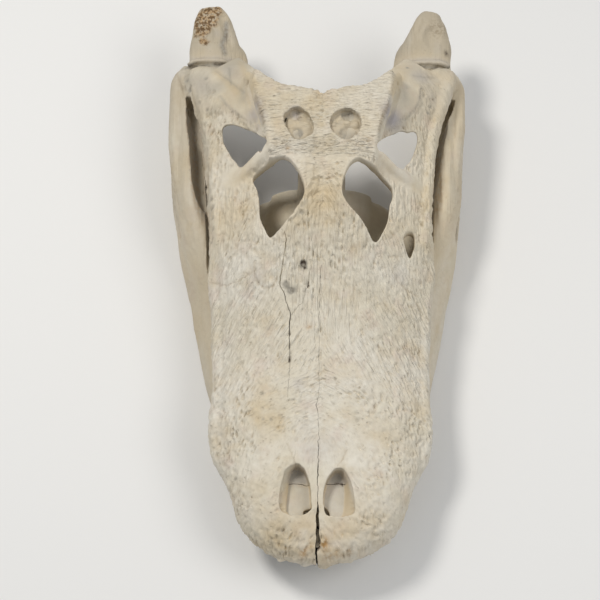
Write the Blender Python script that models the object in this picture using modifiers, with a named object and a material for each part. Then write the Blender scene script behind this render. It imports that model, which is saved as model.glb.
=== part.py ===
# Alligator skull with its lower jaw closed.
# The snout points to -Y, the back of the skull to +Y, and Z is up. Left and right
# are the animal's own, so its left side lies at +X.
# Outlines are in millimetres: x across, s back from the snout tip, z up from
# the surface that the jaw lies on. MM turns them into Blender's metres.

import bpy
import bmesh
import numpy as np
from math import pi

MM = 0.001

# Driving sizes
OVERALL_LENGTH = 528.0
MODEL_MIDDLE = OVERALL_LENGTH / 2
SIDE_SHIFT = 3.1
JAW_SWING = -3.0
JAW_SWING_START = 60.0
JAW_SWING_END = 400.0
FRONT_ROWS_END = 100.0
FRONT_CORNER = 55.0
FRONT_HALF_WIDTH = 75.0
RIM_END = 302.0
RIM_HALF_WIDTH = 7.8
RIM_RAISE = 9.0
RIM_OVERLAP = 4.0
TABLE_START = 345.0
TABLE_LABEL_END = 405.0
BONE_SHEET = 9.0
SEAT_GAP = 0.3
JOINT_HEIGHT = 83.0
JOINT_START = 405.0
JOINT_END = 468.5
UNDER_JOINT = 60.0
BEYOND = 200.0
CHIN_END = 200.0
SHELF_START = 258.0
SHELF_END = 440.0
SHELF_HEIGHT = 54.5
SHELF_INNER = 60.0
CHEEK_GAP = 0.9
CHEEK_LEAN = -1.9
TOOTH_SINK = 2.0
LOWER_TOOTH_INSET = 2.5
ORBIT_DEPTH = 62.0
TEMPORAL_DEPTH = 50.0
TEMPORAL_LOW = 92.0
TEMPORAL_LEAN = 0.55
NARIS_FLOOR = 65.0
CHEEK_HOLE_DEPTH = 75.0
PIT_FLOOR = 146.0
BELOW_PALATE = 20.0
FRONT_HOLE_TOP = 70.0
WINDOW_TOP = 80.0
SPINAL_LINE = ((0, 385, 124), (0, 450, 124))
SPINAL_RADIUS = 8.0
ABOVE_ALL = 190.0
SIDES = (("right", -1), ("left", 1))
VOXEL = 2.6
CRANIUM_TRIANGLES = 3090
JAW_TRIANGLES = 560
TOOTH_SIDES = 6

# Half width of the cranium at stations along s
CRANIUM_STATIONS = (0, 38, 55, 75, 97, 117, 143, 168, 190, 215, 240, 262, 280, 300,
                    325, 344, 377, 398, 418, 435, 455, 472)
CRANIUM_HALF_WIDTHS = (52, 68.5, 75, 85, 96, 99, 97.5, 96.5, 97.5, 98.5, 100.5, 103, 102, 101.5,
                       103, 104.5, 107.5, 111, 120, 125, 131, 127)

# Half width of the inner field of the roof, which ends as the skull table
TABLE_STATIONS = (0, 100, 250, 300, 347, 363, 377, 388, 401, 417, 428, 472)
TABLE_HALF_WIDTHS = (30, 48, 46, 46, 47, 50, 53, 57, 60, 63, 62, 62)

# Where each column of the roof ends at the back, by its share of the half width
BACK_SHARES = (0.0, 0.055, 0.16, 0.25, 0.31, 0.4, 0.475, 0.5, 0.54, 0.58, 0.65, 0.8, 1.0)
BACK_ENDS = (404, 408, 410.3, 411.5, 413.2, 419.8, 426, 427.5, 433, 443, 457, 464, 460)

# Heights of the roof: one row of heights per station, one column per share
ROOF_SHARES = (0.0, 0.2, 0.36, 0.47, 0.5, 0.54, 0.64, 0.78, 0.91, 1.0)
ROOF_ROWS = {
    0: (46, 46, 46, 46, 46, 46, 46, 46, 46, 46),
    3: (61, 61, 60, 59, 59, 58, 57, 54, 50, 46),
    10: (69, 70, 69, 68, 68, 67, 64, 60, 54, 45),
    25: (76, 78, 78, 76, 75, 74, 71, 65, 57, 44),
    45: (80, 83, 83, 81, 80, 79, 75, 68, 59, 42),
    75: (83, 86, 86, 84, 83, 82, 78, 71, 60, 41),
    100: (84, 87, 87, 85, 85, 84, 80, 73, 62, 42),
    130: (85, 88, 89, 87, 86, 85, 82, 76, 66, 46),
    175: (88, 90, 90, 88, 87, 86, 82, 75, 64, 46),
    220: (95, 97, 96, 94, 93, 92, 88, 81, 71, 52),
    255: (107, 111, 110, 107, 106, 104, 99, 91, 80, 58),
    285: (121, 129, 127, 122, 120, 117, 111, 101, 88, 63),
    310: (134, 144, 140, 130, 127, 123, 117, 106, 92, 66),
    335: (145, 151, 149, 142, 138, 131, 118, 107, 95, 69),
    345: (148, 152, 151, 148, 146, 134, 118, 108, 95, 70),
    355: (150, 153, 153, 152, 151, 137, 119, 110, 96, 71),
    375: (151, 153, 154, 154, 153, 139, 121, 111, 97, 74),
    395: (153, 154, 155, 155, 154, 138, 114, 103, 93, 77),
    405: (151, 153, 154, 154, 152, 130, 100, 94, 90, 82),
}

# Height of the palate at its margin and the depth of its vault
PALATE_STATIONS = (0, 20, 48, 85, 130, 175, 230, 280, 330, 400, 470)
MARGIN_HEIGHTS = (46, 43, 46, 41, 48, 46, 53, 61, 67, 72, 80)
PALATE_HEIGHT = 59.0
PALATE_END = 270.0
PALATE_FADE = 16.0

# Openings of the roof, each side as it grew
RIGHT_ORBIT = ((-62, 334), (-56, 339), (-50, 340.5), (-44, 341), (-35, 341), (-29, 338), (-24, 332),
              (-19, 323), (-16, 313), (-18, 304), (-24, 296), (-33, 286), (-40, 280), (-46, 277),
              (-50, 284), (-55, 296), (-56, 310), (-58, 322))
LEFT_ORBIT = ((30, 339), (38, 338), (47, 336.5), (54, 333), (62, 327), (62, 316), (60, 310),
              (58, 295), (53, 283), (48, 275), (44, 276), (39, 284), (32, 292), (24, 299),
              (18, 307), (17, 315), (20, 326), (24, 334))
RIGHT_TEMPORAL = ((-91, 390), (-88, 392.5), (-81, 391), (-74, 387), (-69, 383), (-63, 378),
                  (-57, 370), (-51, 360), (-50, 356), (-54, 355), (-59, 353), (-65, 352), (-73, 349),
                  (-77, 354), (-82, 361), (-85, 367), (-89, 375), (-90.5, 382))
RIGHT_TEMPORAL_HEIGHTS = (106, 108, 113, 116.5, 119.5, 125, 133, 144, 145, 134, 126, 118, 113,
                          111.5, 110.5, 109.5, 107.5, 107.5)
LEFT_TEMPORAL = ((48.5, 356), (53.5, 362), (58.5, 371), (64, 377.5), (71, 384), (77, 384.5),
                 (82, 387), (85.5, 387), (87, 382), (85.5, 375), (83, 367), (80, 359), (75.5, 353),
                 (71, 346), (67.5, 344.5), (63, 346), (58.5, 348), (54, 350.5), (48.5, 350))
LEFT_TEMPORAL_HEIGHTS = (146, 142, 131, 123, 117, 113, 110.5, 107.5, 107.5, 107.5, 108.5, 109, 111.5,
                         112.5, 114.5, 118, 123.5, 131, 146)
RIGHT_TABLE_PIT = ((-33, 379), (-27, 386), (-21, 388), (-13, 384), (-8, 376), (-7, 367),
                  (-11, 360), (-22, 354), (-29, 361), (-33, 370))
LEFT_TABLE_PIT = ((7, 379), (14, 385), (21, 386), (29, 383), (33, 375), (32, 367), (27, 359),
                   (20, 354), (12, 360), (7, 369))
RIGHT_NARIS = ((-20, 78), (-15, 76), (-11, 71), (-8, 63), (-6, 57), (-6, 47), (-7, 39),
              (-12, 36), (-21, 34), (-28, 38), (-28, 49), (-26, 63), (-24, 71))
LEFT_NARIS = ((14, 75), (17, 74), (20, 71), (22, 63), (24, 49), (22, 35), (15, 34), (8, 35),
               (5, 42), (4, 49), (5, 60), (7, 68), (11, 72))
CHEEK_HOLE = ((73, 285), (77, 291), (82, 291), (83, 282), (81, 274), (78, 268), (75, 275))
PALATE_WINDOW = ((30, 212), (44, 216), (56, 233), (63, 254), (67, 275), (62, 288), (45, 293),
                 (32, 290), (28, 275), (27, 248), (26, 226))
MIDLINE_GAP = ((-2, -8), (2, -8), (1.9, 12), (1.7, 28), (1.1, 38), (0, 42), (-1.1, 38), (-1.7, 28),
               (-1.9, 12))
FRONT_PALATE_HOLE = ((-8, 36), (-9, 46), (-5, 54), (0, 57), (5, 54), (9, 46), (8, 36), (0, 31))

# Crown heights of the teeth, front to back
UPPER_CROWNS = (10, 12, 13, 16, 12, 9, 11, 15, 19, 15, 11, 10, 11, 13, 13, 11, 10, 9, 8, 7)
UPPER_PLACES = (9, 27, 44, 62, 81, 104, 119, 135, 153, 172, 190, 206, 222, 239, 256,
                272, 287, 301, 314, 326)
LOWER_CROWNS = (14, 10, 9, 17, 9, 8, 8, 8, 8, 9, 10, 11, 12, 11, 10, 9, 7, 6, 5, 4)
LOWER_PLACES = (2, 15, 28, 44, 60, 74, 88, 102, 116, 130, 144, 158, 172, 186, 200,
                213, 226, 238, 249, 259)
LOWER_SEPARATE = (1, 2, 4, 11, 12, 13, 14, 15)
SMALL_TOOTH_SIDES = 5
CROWN_TO_WIDTH = 0.55
ROOT_SHARE = 0.75
TIP_BEND = 0.14
RIM_INSET = 8.0

# The lower jaw: middle line and section, from the jaw's own middle outward
JAW_LINE = ((-6, 28), (22, 32), (41, 47), (55, 70), (65, 98), (74, 132), (83, 175), (91, 220),
            (99, 255), (108, 285), (115, 315), (120, 350), (121.5, 400), (121.5, 440), (117, 462))
JAW_MIDDLES = (25, 25, 23, 19.5, 18.7, 20.2, 22.5, 24.5, 27.5, 31.5, 35, 37.5, 38.8, 53, 62)
JAW_HALF_WIDTHS = (12, 12, 12, 12, 12, 12, 12, 12.5, 14, 16, 16, 17, 18, 18, 15)
JAW_HALF_HEIGHTS = (12, 13, 17, 20.5, 22, 23, 27, 29, 29.5, 32, 36.5, 40, 40, 29, 18)
JAW_LEANS = (0, 5, 10, 16, 22, 30, 40, 42, 32, 18, 8, 0, 0, 0, 0)
SHOULDER_WIDTHS = (5, 7, 8, 8, 8, 8, 7)
SHOULDER_HEIGHTS = (8, 11, 13, 14, 13, 12, 11)
POCKET_WIDTHS = (3.5, 6, 6.5, 7, 7, 5)
POCKET_HEIGHTS = (8, 19, 22, 24, 22, 14)
HEEL_HEIGHTS = (16, 14, 12, 9.5, 7, 4.5)
JOINT_LIP = ((82, 472.5, 86), (92, 474, 88.5), (106, 474.5, 88.5), (118, 474, 88), (125, 472, 85))

# Where the two halves of the lower jaw differ: shift of the middle line, outer shoulder,
# pocket behind the teeth, and heel behind the joint with its half widths
JAW_SIDES = {
    "right": {
        "shifts": (0, 0, 0, 0, 0, 0, 0, 0, 0, 0, 0, 0, 0, 0, 0),
        "shoulder": ((110, 285, 48), (120, 315, 53), (127, 350, 57), (132.3, 395, 61), (132.8, 436, 64),
                     (131.5, 458, 66), (122, 474, 69)),
        "pocket": ((99, 322, 72), (106, 336, 72), (110, 353, 73), (112.5, 384, 74), (115, 405, 78),
                   (119, 428, 84)),
        "heel": ((96, 455, 62), (95, 476, 72), (98, 490, 79), (99.5, 504, 85.5), (101.5, 516, 90),
                 (103, OVERALL_LENGTH, 92)),
        "heel_widths": (24, 29, 25, 20.5, 17, 10.5),
    },
    "left": {
        "shifts": (0, 0, 0, 0, 0, 0, 0, 0, 0, 0, -1, -2.6, -3.5, -1.5, 0),
        "shoulder": ((109, 285, 48), (117, 315, 53), (124, 350, 57), (127.5, 390, 61), (130.7, 425, 64),
                     (131, 452, 66), (122.5, 470, 69)),
        "pocket": ((97.5, 330, 72), (101.5, 345, 72), (105, 365, 73), (108, 386, 75), (112, 405, 79),
                   (117, 425, 85)),
        "heel": ((98, 455, 62), (98.5, 477, 72), (103, 494, 80), (104.5, 506, 86), (105.5, 517, 90),
                 (107.5, 526, 91)),
        "heel_widths": (22, 27.5, 23.5, 18.5, 14, 8.5),
    },
}

# Outer edge of the cheek from above, which the back of each jaw leaves free
CHEEK_STATIONS = (258, 272, 325, 358, 381, 397, 411, 426, 440)
CHEEK_EDGES = {
    "right": (102.2, 102.9, 105.5, 107.6, 110.3, 114, 119, 125, 127),
    "left": (99.2, 99.4, 102.2, 103.3, 105.3, 108.7, 114, 120.8, 124.5),
}


def place(points):
    """x, s, z in millimetres to world metres."""
    points = np.asarray(points, float)
    out = np.empty_like(points)
    out[..., 0] = (points[..., 0] + SIDE_SHIFT) * MM
    out[..., 1] = (points[..., 1] - MODEL_MIDDLE) * MM
    out[..., 2] = points[..., 2] * MM
    return out


def soft_line(at, stations, values):
    """Cubic curve through the stations with flat turning points."""
    stations = np.asarray(stations, float)
    values = np.asarray(values, float)
    steps = np.diff(stations)
    rises = np.diff(values, axis=0)
    steps_shaped = steps.reshape((-1,) + (1,) * (values.ndim - 1))
    slopes = rises / steps_shaped
    tangents = np.zeros_like(values)
    before, after = slopes[:-1], slopes[1:]
    same_way = before * after > 0
    total = np.where(same_way, before + after, 1.0)
    tangents[1:-1] = np.where(same_way, 2 * before * after / total, 0.0)
    tangents[0], tangents[-1] = slopes[0], slopes[-1]
    at = np.clip(np.asarray(at, float), stations[0], stations[-1])
    cell = np.clip(np.searchsorted(stations, at, side="right") - 1, 0, len(steps) - 1)
    shape = at.shape + (1,) * (values.ndim - 1)
    width = steps[cell].reshape(shape)
    t = ((at - stations[cell]) / steps[cell]).reshape(shape)
    return ((2 * t**3 - 3 * t**2 + 1) * values[cell] + (t**3 - 2 * t**2 + t) * width * tangents[cell]
            + (3 * t**2 - 2 * t**3) * values[cell + 1] + (t**3 - t**2) * width * tangents[cell + 1])


def new_object(name, verts, faces, collection):
    mesh = bpy.data.meshes.new(name)
    mesh.from_pydata([tuple(v) for v in verts], [], faces)
    mesh.update()
    obj = bpy.data.objects.new(name, mesh)
    collection.objects.link(obj)
    return obj


def slab(name, top, bottom, collection):
    """Closed solid between two grids of points with the same rows and columns."""
    rows, cols = top.shape[:2]
    verts = np.concatenate([place(top).reshape(-1, 3), place(bottom).reshape(-1, 3)])
    at = np.arange(rows * cols).reshape(rows, cols)
    under = at + rows * cols
    faces = []
    for r in range(rows - 1):
        for c in range(cols - 1):
            faces.append((at[r, c], at[r, c + 1], at[r + 1, c + 1], at[r + 1, c]))
            faces.append((under[r, c], under[r + 1, c], under[r + 1, c + 1], under[r, c + 1]))
    for c in range(cols - 1):
        faces.append((at[0, c + 1], at[0, c], under[0, c], under[0, c + 1]))
        faces.append((at[-1, c], at[-1, c + 1], under[-1, c + 1], under[-1, c]))
    for r in range(rows - 1):
        faces.append((at[r, 0], at[r + 1, 0], under[r + 1, 0], under[r, 0]))
        faces.append((at[r + 1, -1], at[r, -1], under[r, -1], under[r + 1, -1]))
    return new_object(name, verts, [tuple(int(i) for i in f) for f in faces], collection)


def limb(name, line, half_widths, half_heights, collection, sides=12, lean=None, steps=1):
    """Loft of ellipses along a line: width lies level, height lies up."""
    line = np.asarray(line, float)
    count = len(line)
    at = np.linspace(0, count - 1, (count - 1) * steps + 1)
    own = np.arange(count)
    centres = soft_line(at, own, line)
    wide = soft_line(at, own, np.asarray(half_widths, float))
    high = soft_line(at, own, np.asarray(half_heights, float))
    lean = np.zeros(count) if lean is None else np.radians(np.asarray(lean, float))
    lean = soft_line(at, own, lean)
    along = np.gradient(centres, axis=0)
    along /= np.linalg.norm(along, axis=1)[:, None]
    level = np.cross(along, (0, 0, 1))
    length = np.linalg.norm(level, axis=1)[:, None]
    level = np.where(length > 0.05, level / np.maximum(length, 0.05), (1.0, 0, 0))
    up = np.cross(level, along)
    leaning_up = up * np.cos(lean)[:, None] - level * np.sin(lean)[:, None]
    leaning_side = level * np.cos(lean)[:, None] + up * np.sin(lean)[:, None]
    turn = np.linspace(0, 2 * pi, sides, endpoint=False)
    ring = (centres[:, None] + (wide[:, None] * np.cos(turn))[..., None] * leaning_side[:, None]
            + (high[:, None] * np.sin(turn))[..., None] * leaning_up[:, None])
    verts = place(ring).reshape(-1, 3)
    rows = len(at)
    faces = []
    for r in range(rows - 1):
        for c in range(sides):
            a, b = r * sides + c, r * sides + (c + 1) % sides
            faces.append((a, a + sides, b + sides, b))
    faces.append(tuple(range(sides)))
    faces.append(tuple(reversed(range((rows - 1) * sides, rows * sides))))
    obj = new_object(name, verts, faces, collection)
    face_outward(obj)
    return obj


def face_outward(obj):
    bm = bmesh.new()
    bm.from_mesh(obj.data)
    bmesh.ops.recalc_face_normals(bm, faces=bm.faces)
    bm.to_mesh(obj.data)
    bm.free()


def ball(name, middle, radii, collection):
    bm = bmesh.new()
    bmesh.ops.create_icosphere(bm, subdivisions=3, radius=1.0)
    points = np.array([v.co for v in bm.verts]) * np.asarray(radii, float) + np.asarray(middle, float)
    for vert, spot in zip(bm.verts, place(points)):
        vert.co = spot
    mesh = bpy.data.meshes.new(name)
    bm.to_mesh(mesh)
    bm.free()
    obj = bpy.data.objects.new(name, mesh)
    collection.objects.link(obj)
    return obj


def smooth_loop(points, per_side=2):
    """Closed curve that runs smoothly through the points."""
    points = np.asarray(points, float)
    before, after = np.roll(points, 1, 0), np.roll(points, -1, 0)
    later = np.roll(points, -2, 0)
    out = []
    for step in np.arange(per_side) / per_side:
        t = step
        out.append(0.5 * (2 * points + (after - before) * t
                          + (2 * before - 5 * points + 4 * after - later) * t**2
                          + (3 * points - before - 3 * after + later) * t**3))
    return np.stack(out, 1).reshape(-1, points.shape[1])


def prism(name, outline, low, high, collection):
    """Upright cutter with the outline as its section."""
    loop = smooth_loop(outline)
    count = len(loop)
    verts = [(x, s, low) for x, s in loop] + [(x, s, high) for x, s in loop]
    faces = [tuple(range(count)), tuple(range(count, 2 * count))]
    faces += [(i, (i + 1) % count, (i + 1) % count + count, i + count) for i in range(count)]
    obj = new_object(name, place(verts), faces, collection)
    face_outward(obj)
    return obj


def undercut(name, outline, heights, low, high, collection):
    """Cutter that is upright above its outline and leans back below it."""
    loop = smooth_loop(np.column_stack([outline, heights]))
    count = len(loop)
    verts = [(x, s + TEMPORAL_LEAN * (z - low), low) for x, s, z in loop]
    verts += [(x, s, z) for x, s, z in loop]
    verts += [(x, s, high) for x, s, z in loop]
    faces = [tuple(range(count)), tuple(range(2 * count, 3 * count))]
    for first in (0, count):
        faces += [(first + i, first + (i + 1) % count, first + (i + 1) % count + count, first + i + count)
                  for i in range(count)]
    obj = new_object(name, place(verts), faces, collection)
    face_outward(obj)
    return obj


def block(name, low, high, collection):
    bm = bmesh.new()
    bmesh.ops.create_cube(bm, size=1.0)
    low, high = np.asarray(low, float), np.asarray(high, float)
    for vert in bm.verts:
        vert.co = place((np.array(vert.co) + 0.5) * (high - low) + low)
    mesh = bpy.data.meshes.new(name)
    bm.to_mesh(mesh)
    bm.free()
    obj = bpy.data.objects.new(name, mesh)
    collection.objects.link(obj)
    return obj


def join(name, objects, collection):
    """One object that holds the shapes of several."""
    bm = bmesh.new()
    for obj in objects:
        bm.from_mesh(obj.data)
    mesh = bpy.data.meshes.new(name)
    bm.to_mesh(mesh)
    bm.free()
    for obj in objects:
        bpy.data.objects.remove(obj)
    joined = bpy.data.objects.new(name, mesh)
    collection.objects.link(joined)
    return joined


def settle(obj):
    """Keep the shape that the modifiers give."""
    graph = bpy.context.evaluated_depsgraph_get()
    mesh = bpy.data.meshes.new_from_object(obj.evaluated_get(graph))
    obj.modifiers.clear()
    obj.data = mesh


def cut(obj, cutter):
    boolean = obj.modifiers.new("cut", "BOOLEAN")
    boolean.operation = "DIFFERENCE"
    boolean.solver = "EXACT"
    boolean.object = cutter
    settle(obj)
    bpy.data.objects.remove(cutter)


def unite(obj, other):
    boolean = obj.modifiers.new("unite", "BOOLEAN")
    boolean.operation = "UNION"
    boolean.solver = "EXACT"
    boolean.object = other
    settle(obj)
    bpy.data.objects.remove(other)


def fuse(obj, voxel, rounds):
    """Grow the overlapping shapes together into one skin and ease its steps."""
    remesh = obj.modifiers.new("fuse", "REMESH")
    remesh.mode = "VOXEL"
    remesh.voxel_size = voxel * MM
    ease = obj.modifiers.new("ease", "SMOOTH")
    ease.factor = 0.5
    ease.iterations = rounds
    settle(obj)


def thin_out(obj, triangles):
    count = sum(len(p.vertices) - 2 for p in obj.data.polygons)
    decimate = obj.modifiers.new("thin_out", "DECIMATE")
    decimate.ratio = triangles / count
    settle(obj)


def keep_largest(obj):
    """Drop loose crumbs that a fusing or a cut leaves behind."""
    bm = bmesh.new()
    bm.from_mesh(obj.data)
    left = set(bm.verts)
    groups = []
    while left:
        group, front = set(), [left.pop()]
        while front:
            vert = front.pop()
            group.add(vert)
            for edge in vert.link_edges:
                other = edge.other_vert(vert)
                if other in left:
                    left.remove(other)
                    front.append(other)
        groups.append(group)
    groups.sort(key=len)
    for group in groups[:-1]:
        bmesh.ops.delete(bm, geom=list(group), context="VERTS")
    bm.to_mesh(obj.data)
    bm.free()


def material(name, colour, roughness):
    made = bpy.data.materials.new(name)
    made.use_nodes = True
    shader = made.node_tree.nodes["Principled BSDF"]
    shader.inputs["Base Color"].default_value = (*colour, 1.0)
    shader.inputs["Roughness"].default_value = roughness
    shader.inputs["Metallic"].default_value = 0.0
    return made


def finish(obj, made, smooth=True):
    obj.data.materials.clear()
    obj.data.materials.append(made)
    if smooth:
        obj.data.shade_smooth()
        obj.data.set_sharp_from_angle(angle=pi / 3)


def roof_grid():
    """Places and heights of the roof, row by row from the snout to the back."""
    labels = np.concatenate([[0, 1.5, 3, 6, 10, 15, 20], np.arange(26, 346, 6), np.arange(349, 406, 4)])
    shares = np.concatenate([np.linspace(0, 0.46, 9), [0.49, 0.505, 0.525, 0.55], np.linspace(0.6, 1, 9)])
    shares = np.concatenate([-shares[:0:-1], shares])
    size = np.abs(shares)
    row, q = np.meshgrid(labels, shares, indexing="ij")
    size = np.abs(q)
    heights = soft_line(labels, list(ROOF_ROWS), [ROOF_ROWS[k] for k in ROOF_ROWS])
    z = np.stack([soft_line(np.abs(shares), ROOF_SHARES, line) for line in heights])
    front = np.clip(row / FRONT_ROWS_END, 0, 1)
    edge = FRONT_CORNER + (FRONT_ROWS_END - FRONT_CORNER) * front
    bow = 1 - np.cos(size * pi / 2)
    s_front = FRONT_ROWS_END * front + (edge - FRONT_ROWS_END * front) * bow
    back = np.clip((row - TABLE_START) / (TABLE_LABEL_END - TABLE_START), 0, 1)
    s_back = TABLE_START + (soft_line(size, BACK_SHARES, BACK_ENDS) - TABLE_START) * back
    s = np.where(row < FRONT_ROWS_END, s_front, np.where(row <= TABLE_START, row, s_back))
    width_at = np.where(row < FRONT_ROWS_END, edge, s)
    outer = soft_line(width_at, CRANIUM_STATIONS, CRANIUM_HALF_WIDTHS)
    inner = soft_line(width_at, TABLE_STATIONS, TABLE_HALF_WIDTHS)
    straight = np.where(size < 0.5, inner * size * 2, inner + (outer - inner) * (size - 0.5) * 2)
    round_front = outer * np.sin(size * pi / 2)
    x = np.where(row < FRONT_ROWS_END, round_front * (1 - front) + straight * front, straight)
    lean = CHEEK_LEAN * np.clip((s - 250) / 80, 0, 1) * np.clip((size - 0.5) / 0.4, 0, 1)
    return np.stack([np.sign(q) * x + lean, s, z], -1), size


def palate_under(top, size):
    """The lower face of the roof slab: the palate in front, a bone sheet behind."""
    x, s, z = top[..., 0], top[..., 1], top[..., 2]
    margin = soft_line(s, PALATE_STATIONS, MARGIN_HEIGHTS)
    vault = np.clip(1 - size**6, 0, 1)
    palate = np.minimum(margin + (PALATE_HEIGHT - margin) * vault, z - 2)
    normal = np.cross(np.gradient(top, axis=0), np.gradient(top, axis=1))
    normal /= np.linalg.norm(normal, axis=-1)[..., None]
    normal *= np.sign(normal[..., 2:3])
    sheet = top - normal * BONE_SHEET
    back = np.clip((s - PALATE_END) / PALATE_FADE, 0, 1)
    bottom = np.stack([x, s, palate], -1)
    return bottom * (1 - back[..., None]) + sheet * back[..., None]


def rim_path():
    """Middle line of the upper jaw's rim from the midline back, and the distance along it."""
    turn = np.linspace(0, pi / 2, 40)
    front = np.stack([FRONT_HALF_WIDTH * np.sin(turn), FRONT_CORNER * (1 - np.cos(turn))], -1)
    back_s = np.linspace(FRONT_CORNER + 4, RIM_END, 60)
    back = np.stack([soft_line(back_s, CRANIUM_STATIONS, CRANIUM_HALF_WIDTHS), back_s], -1)
    edge = np.concatenate([front, back])
    way = np.gradient(edge, axis=0)
    way /= np.linalg.norm(way, axis=1)[:, None]
    line = edge + RIM_INSET * np.stack([-way[:, 1], way[:, 0]], -1)
    run = np.concatenate([[0], np.cumsum(np.linalg.norm(np.diff(line, axis=0), axis=1))])
    return line, run


def along(path, run, distance):
    """Points at distances along a path, and the direction to its right there."""
    point = np.stack([np.interp(distance, run, path[:, k]) for k in range(2)], -1)
    way = np.stack([np.interp(distance, run, np.gradient(path[:, k], run)) for k in range(2)], -1)
    way /= np.linalg.norm(way, axis=-1, keepdims=True)
    return point, np.stack([way[..., 1], -way[..., 0]], -1)


def tooth_mesh(name, tooth, direction, sides, grow, collection):
    """A tooth, or with grow above 0 the room that its socket leaves for it.

    Rings at the root end, the neck and the body, and a tip that bends inward.
    """
    neck, crown, outward = tooth
    width = crown * CROWN_TO_WIDTH / 2
    outward = np.array([outward[0], outward[1], 0.0])
    sideways = np.array([-outward[1], outward[0], 0.0])
    rings = ((-crown * ROOT_SHARE - grow, 0.7, 0.0), (0.0, 1.0, 0.0), (0.55 * crown, 0.72, 0.02))
    turn = np.linspace(0, 2 * pi, sides, endpoint=False)
    verts = []
    for rise, share, bend in rings:
        middle = np.array(neck) + (0, 0, rise * direction) - outward * bend * crown
        radius = width * share + grow * 1.25
        verts += [middle + radius * (np.cos(a) * outward + np.sin(a) * sideways) for a in turn]
    verts.append(np.array(neck) + (0, 0, (crown + 2 * grow) * direction) - outward * TIP_BEND * crown)
    faces = []
    for r in range(len(rings) - 1):
        for c in range(sides):
            a, b = r * sides + c, r * sides + (c + 1) % sides
            faces.append((a, a + sides, b + sides, b))
    last = (len(rings) - 1) * sides
    faces += [(last + c, len(verts) - 1, last + (c + 1) % sides) for c in range(sides)]
    faces.append(tuple(range(sides)))
    obj = new_object(name, place(verts), faces, collection)
    face_outward(obj)
    return obj


def upper_teeth():
    """Name and (neck, crown, outward direction) of each upper tooth."""
    line, run = rim_path()
    found = []
    for number, (crown, distance) in enumerate(zip(UPPER_CROWNS, UPPER_PLACES), 1):
        point, outward = along(line, run, distance)
        margin = float(soft_line(point[1], PALATE_STATIONS, MARGIN_HEIGHTS))
        for side, sign in SIDES:
            neck = (point[0] * sign, point[1], margin)
            name = f"upper_{side}_tooth_{number:02d}"
            found.append((name, (neck, crown, (outward[0] * sign, outward[1]))))
    return found


def jaw_swing(s):
    """How far the lower jaw lies off the midline at s."""
    return JAW_SWING * np.clip((s - JAW_SWING_START) / (JAW_SWING_END - JAW_SWING_START), 0, 1.2)


def jaw_crest():
    """Line along the top of the lower jaw, the distance along it and its height."""
    own = np.arange(len(JAW_LINE))
    at = np.linspace(1.0, 9.0, 200)
    line = soft_line(at, own, JAW_LINE)
    half_high = soft_line(at, own, JAW_HALF_HEIGHTS)
    half_wide = soft_line(at, own, JAW_HALF_WIDTHS)
    lean = np.radians(soft_line(at, own, JAW_LEANS))
    rise = np.sqrt((half_high * np.cos(lean))**2 + (half_wide * np.sin(lean))**2)
    shift = (half_high**2 - half_wide**2) * np.sin(lean) * np.cos(lean) / rise
    way = np.gradient(line, axis=0)
    way /= np.linalg.norm(way, axis=1)[:, None]
    crest = line - np.stack([way[:, 1], -way[:, 0]], -1) * shift[:, None]
    run = np.concatenate([[0], np.cumsum(np.linalg.norm(np.diff(crest, axis=0), axis=1))])
    return crest, run, np.minimum(soft_line(at, own, JAW_MIDDLES) + rise, SHELF_HEIGHT)


def lower_teeth(side, sign):
    """Number, name and (neck, crown, outward direction) of one side's lower teeth."""
    crest, run, heights = jaw_crest()
    found = []
    for number, (crown, distance) in enumerate(zip(LOWER_CROWNS, LOWER_PLACES), 1):
        point, outward = along(crest, run, distance)
        height = float(np.interp(distance, run, heights)) - TOOTH_SINK
        point = point - outward * LOWER_TOOTH_INSET
        neck = (point[0] * sign + float(jaw_swing(point[1])), point[1], height)
        name = f"lower_{side}_tooth_{number:02d}"
        found.append((number, name, (neck, crown, (outward[0] * sign, outward[1]))))
    return found


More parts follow.
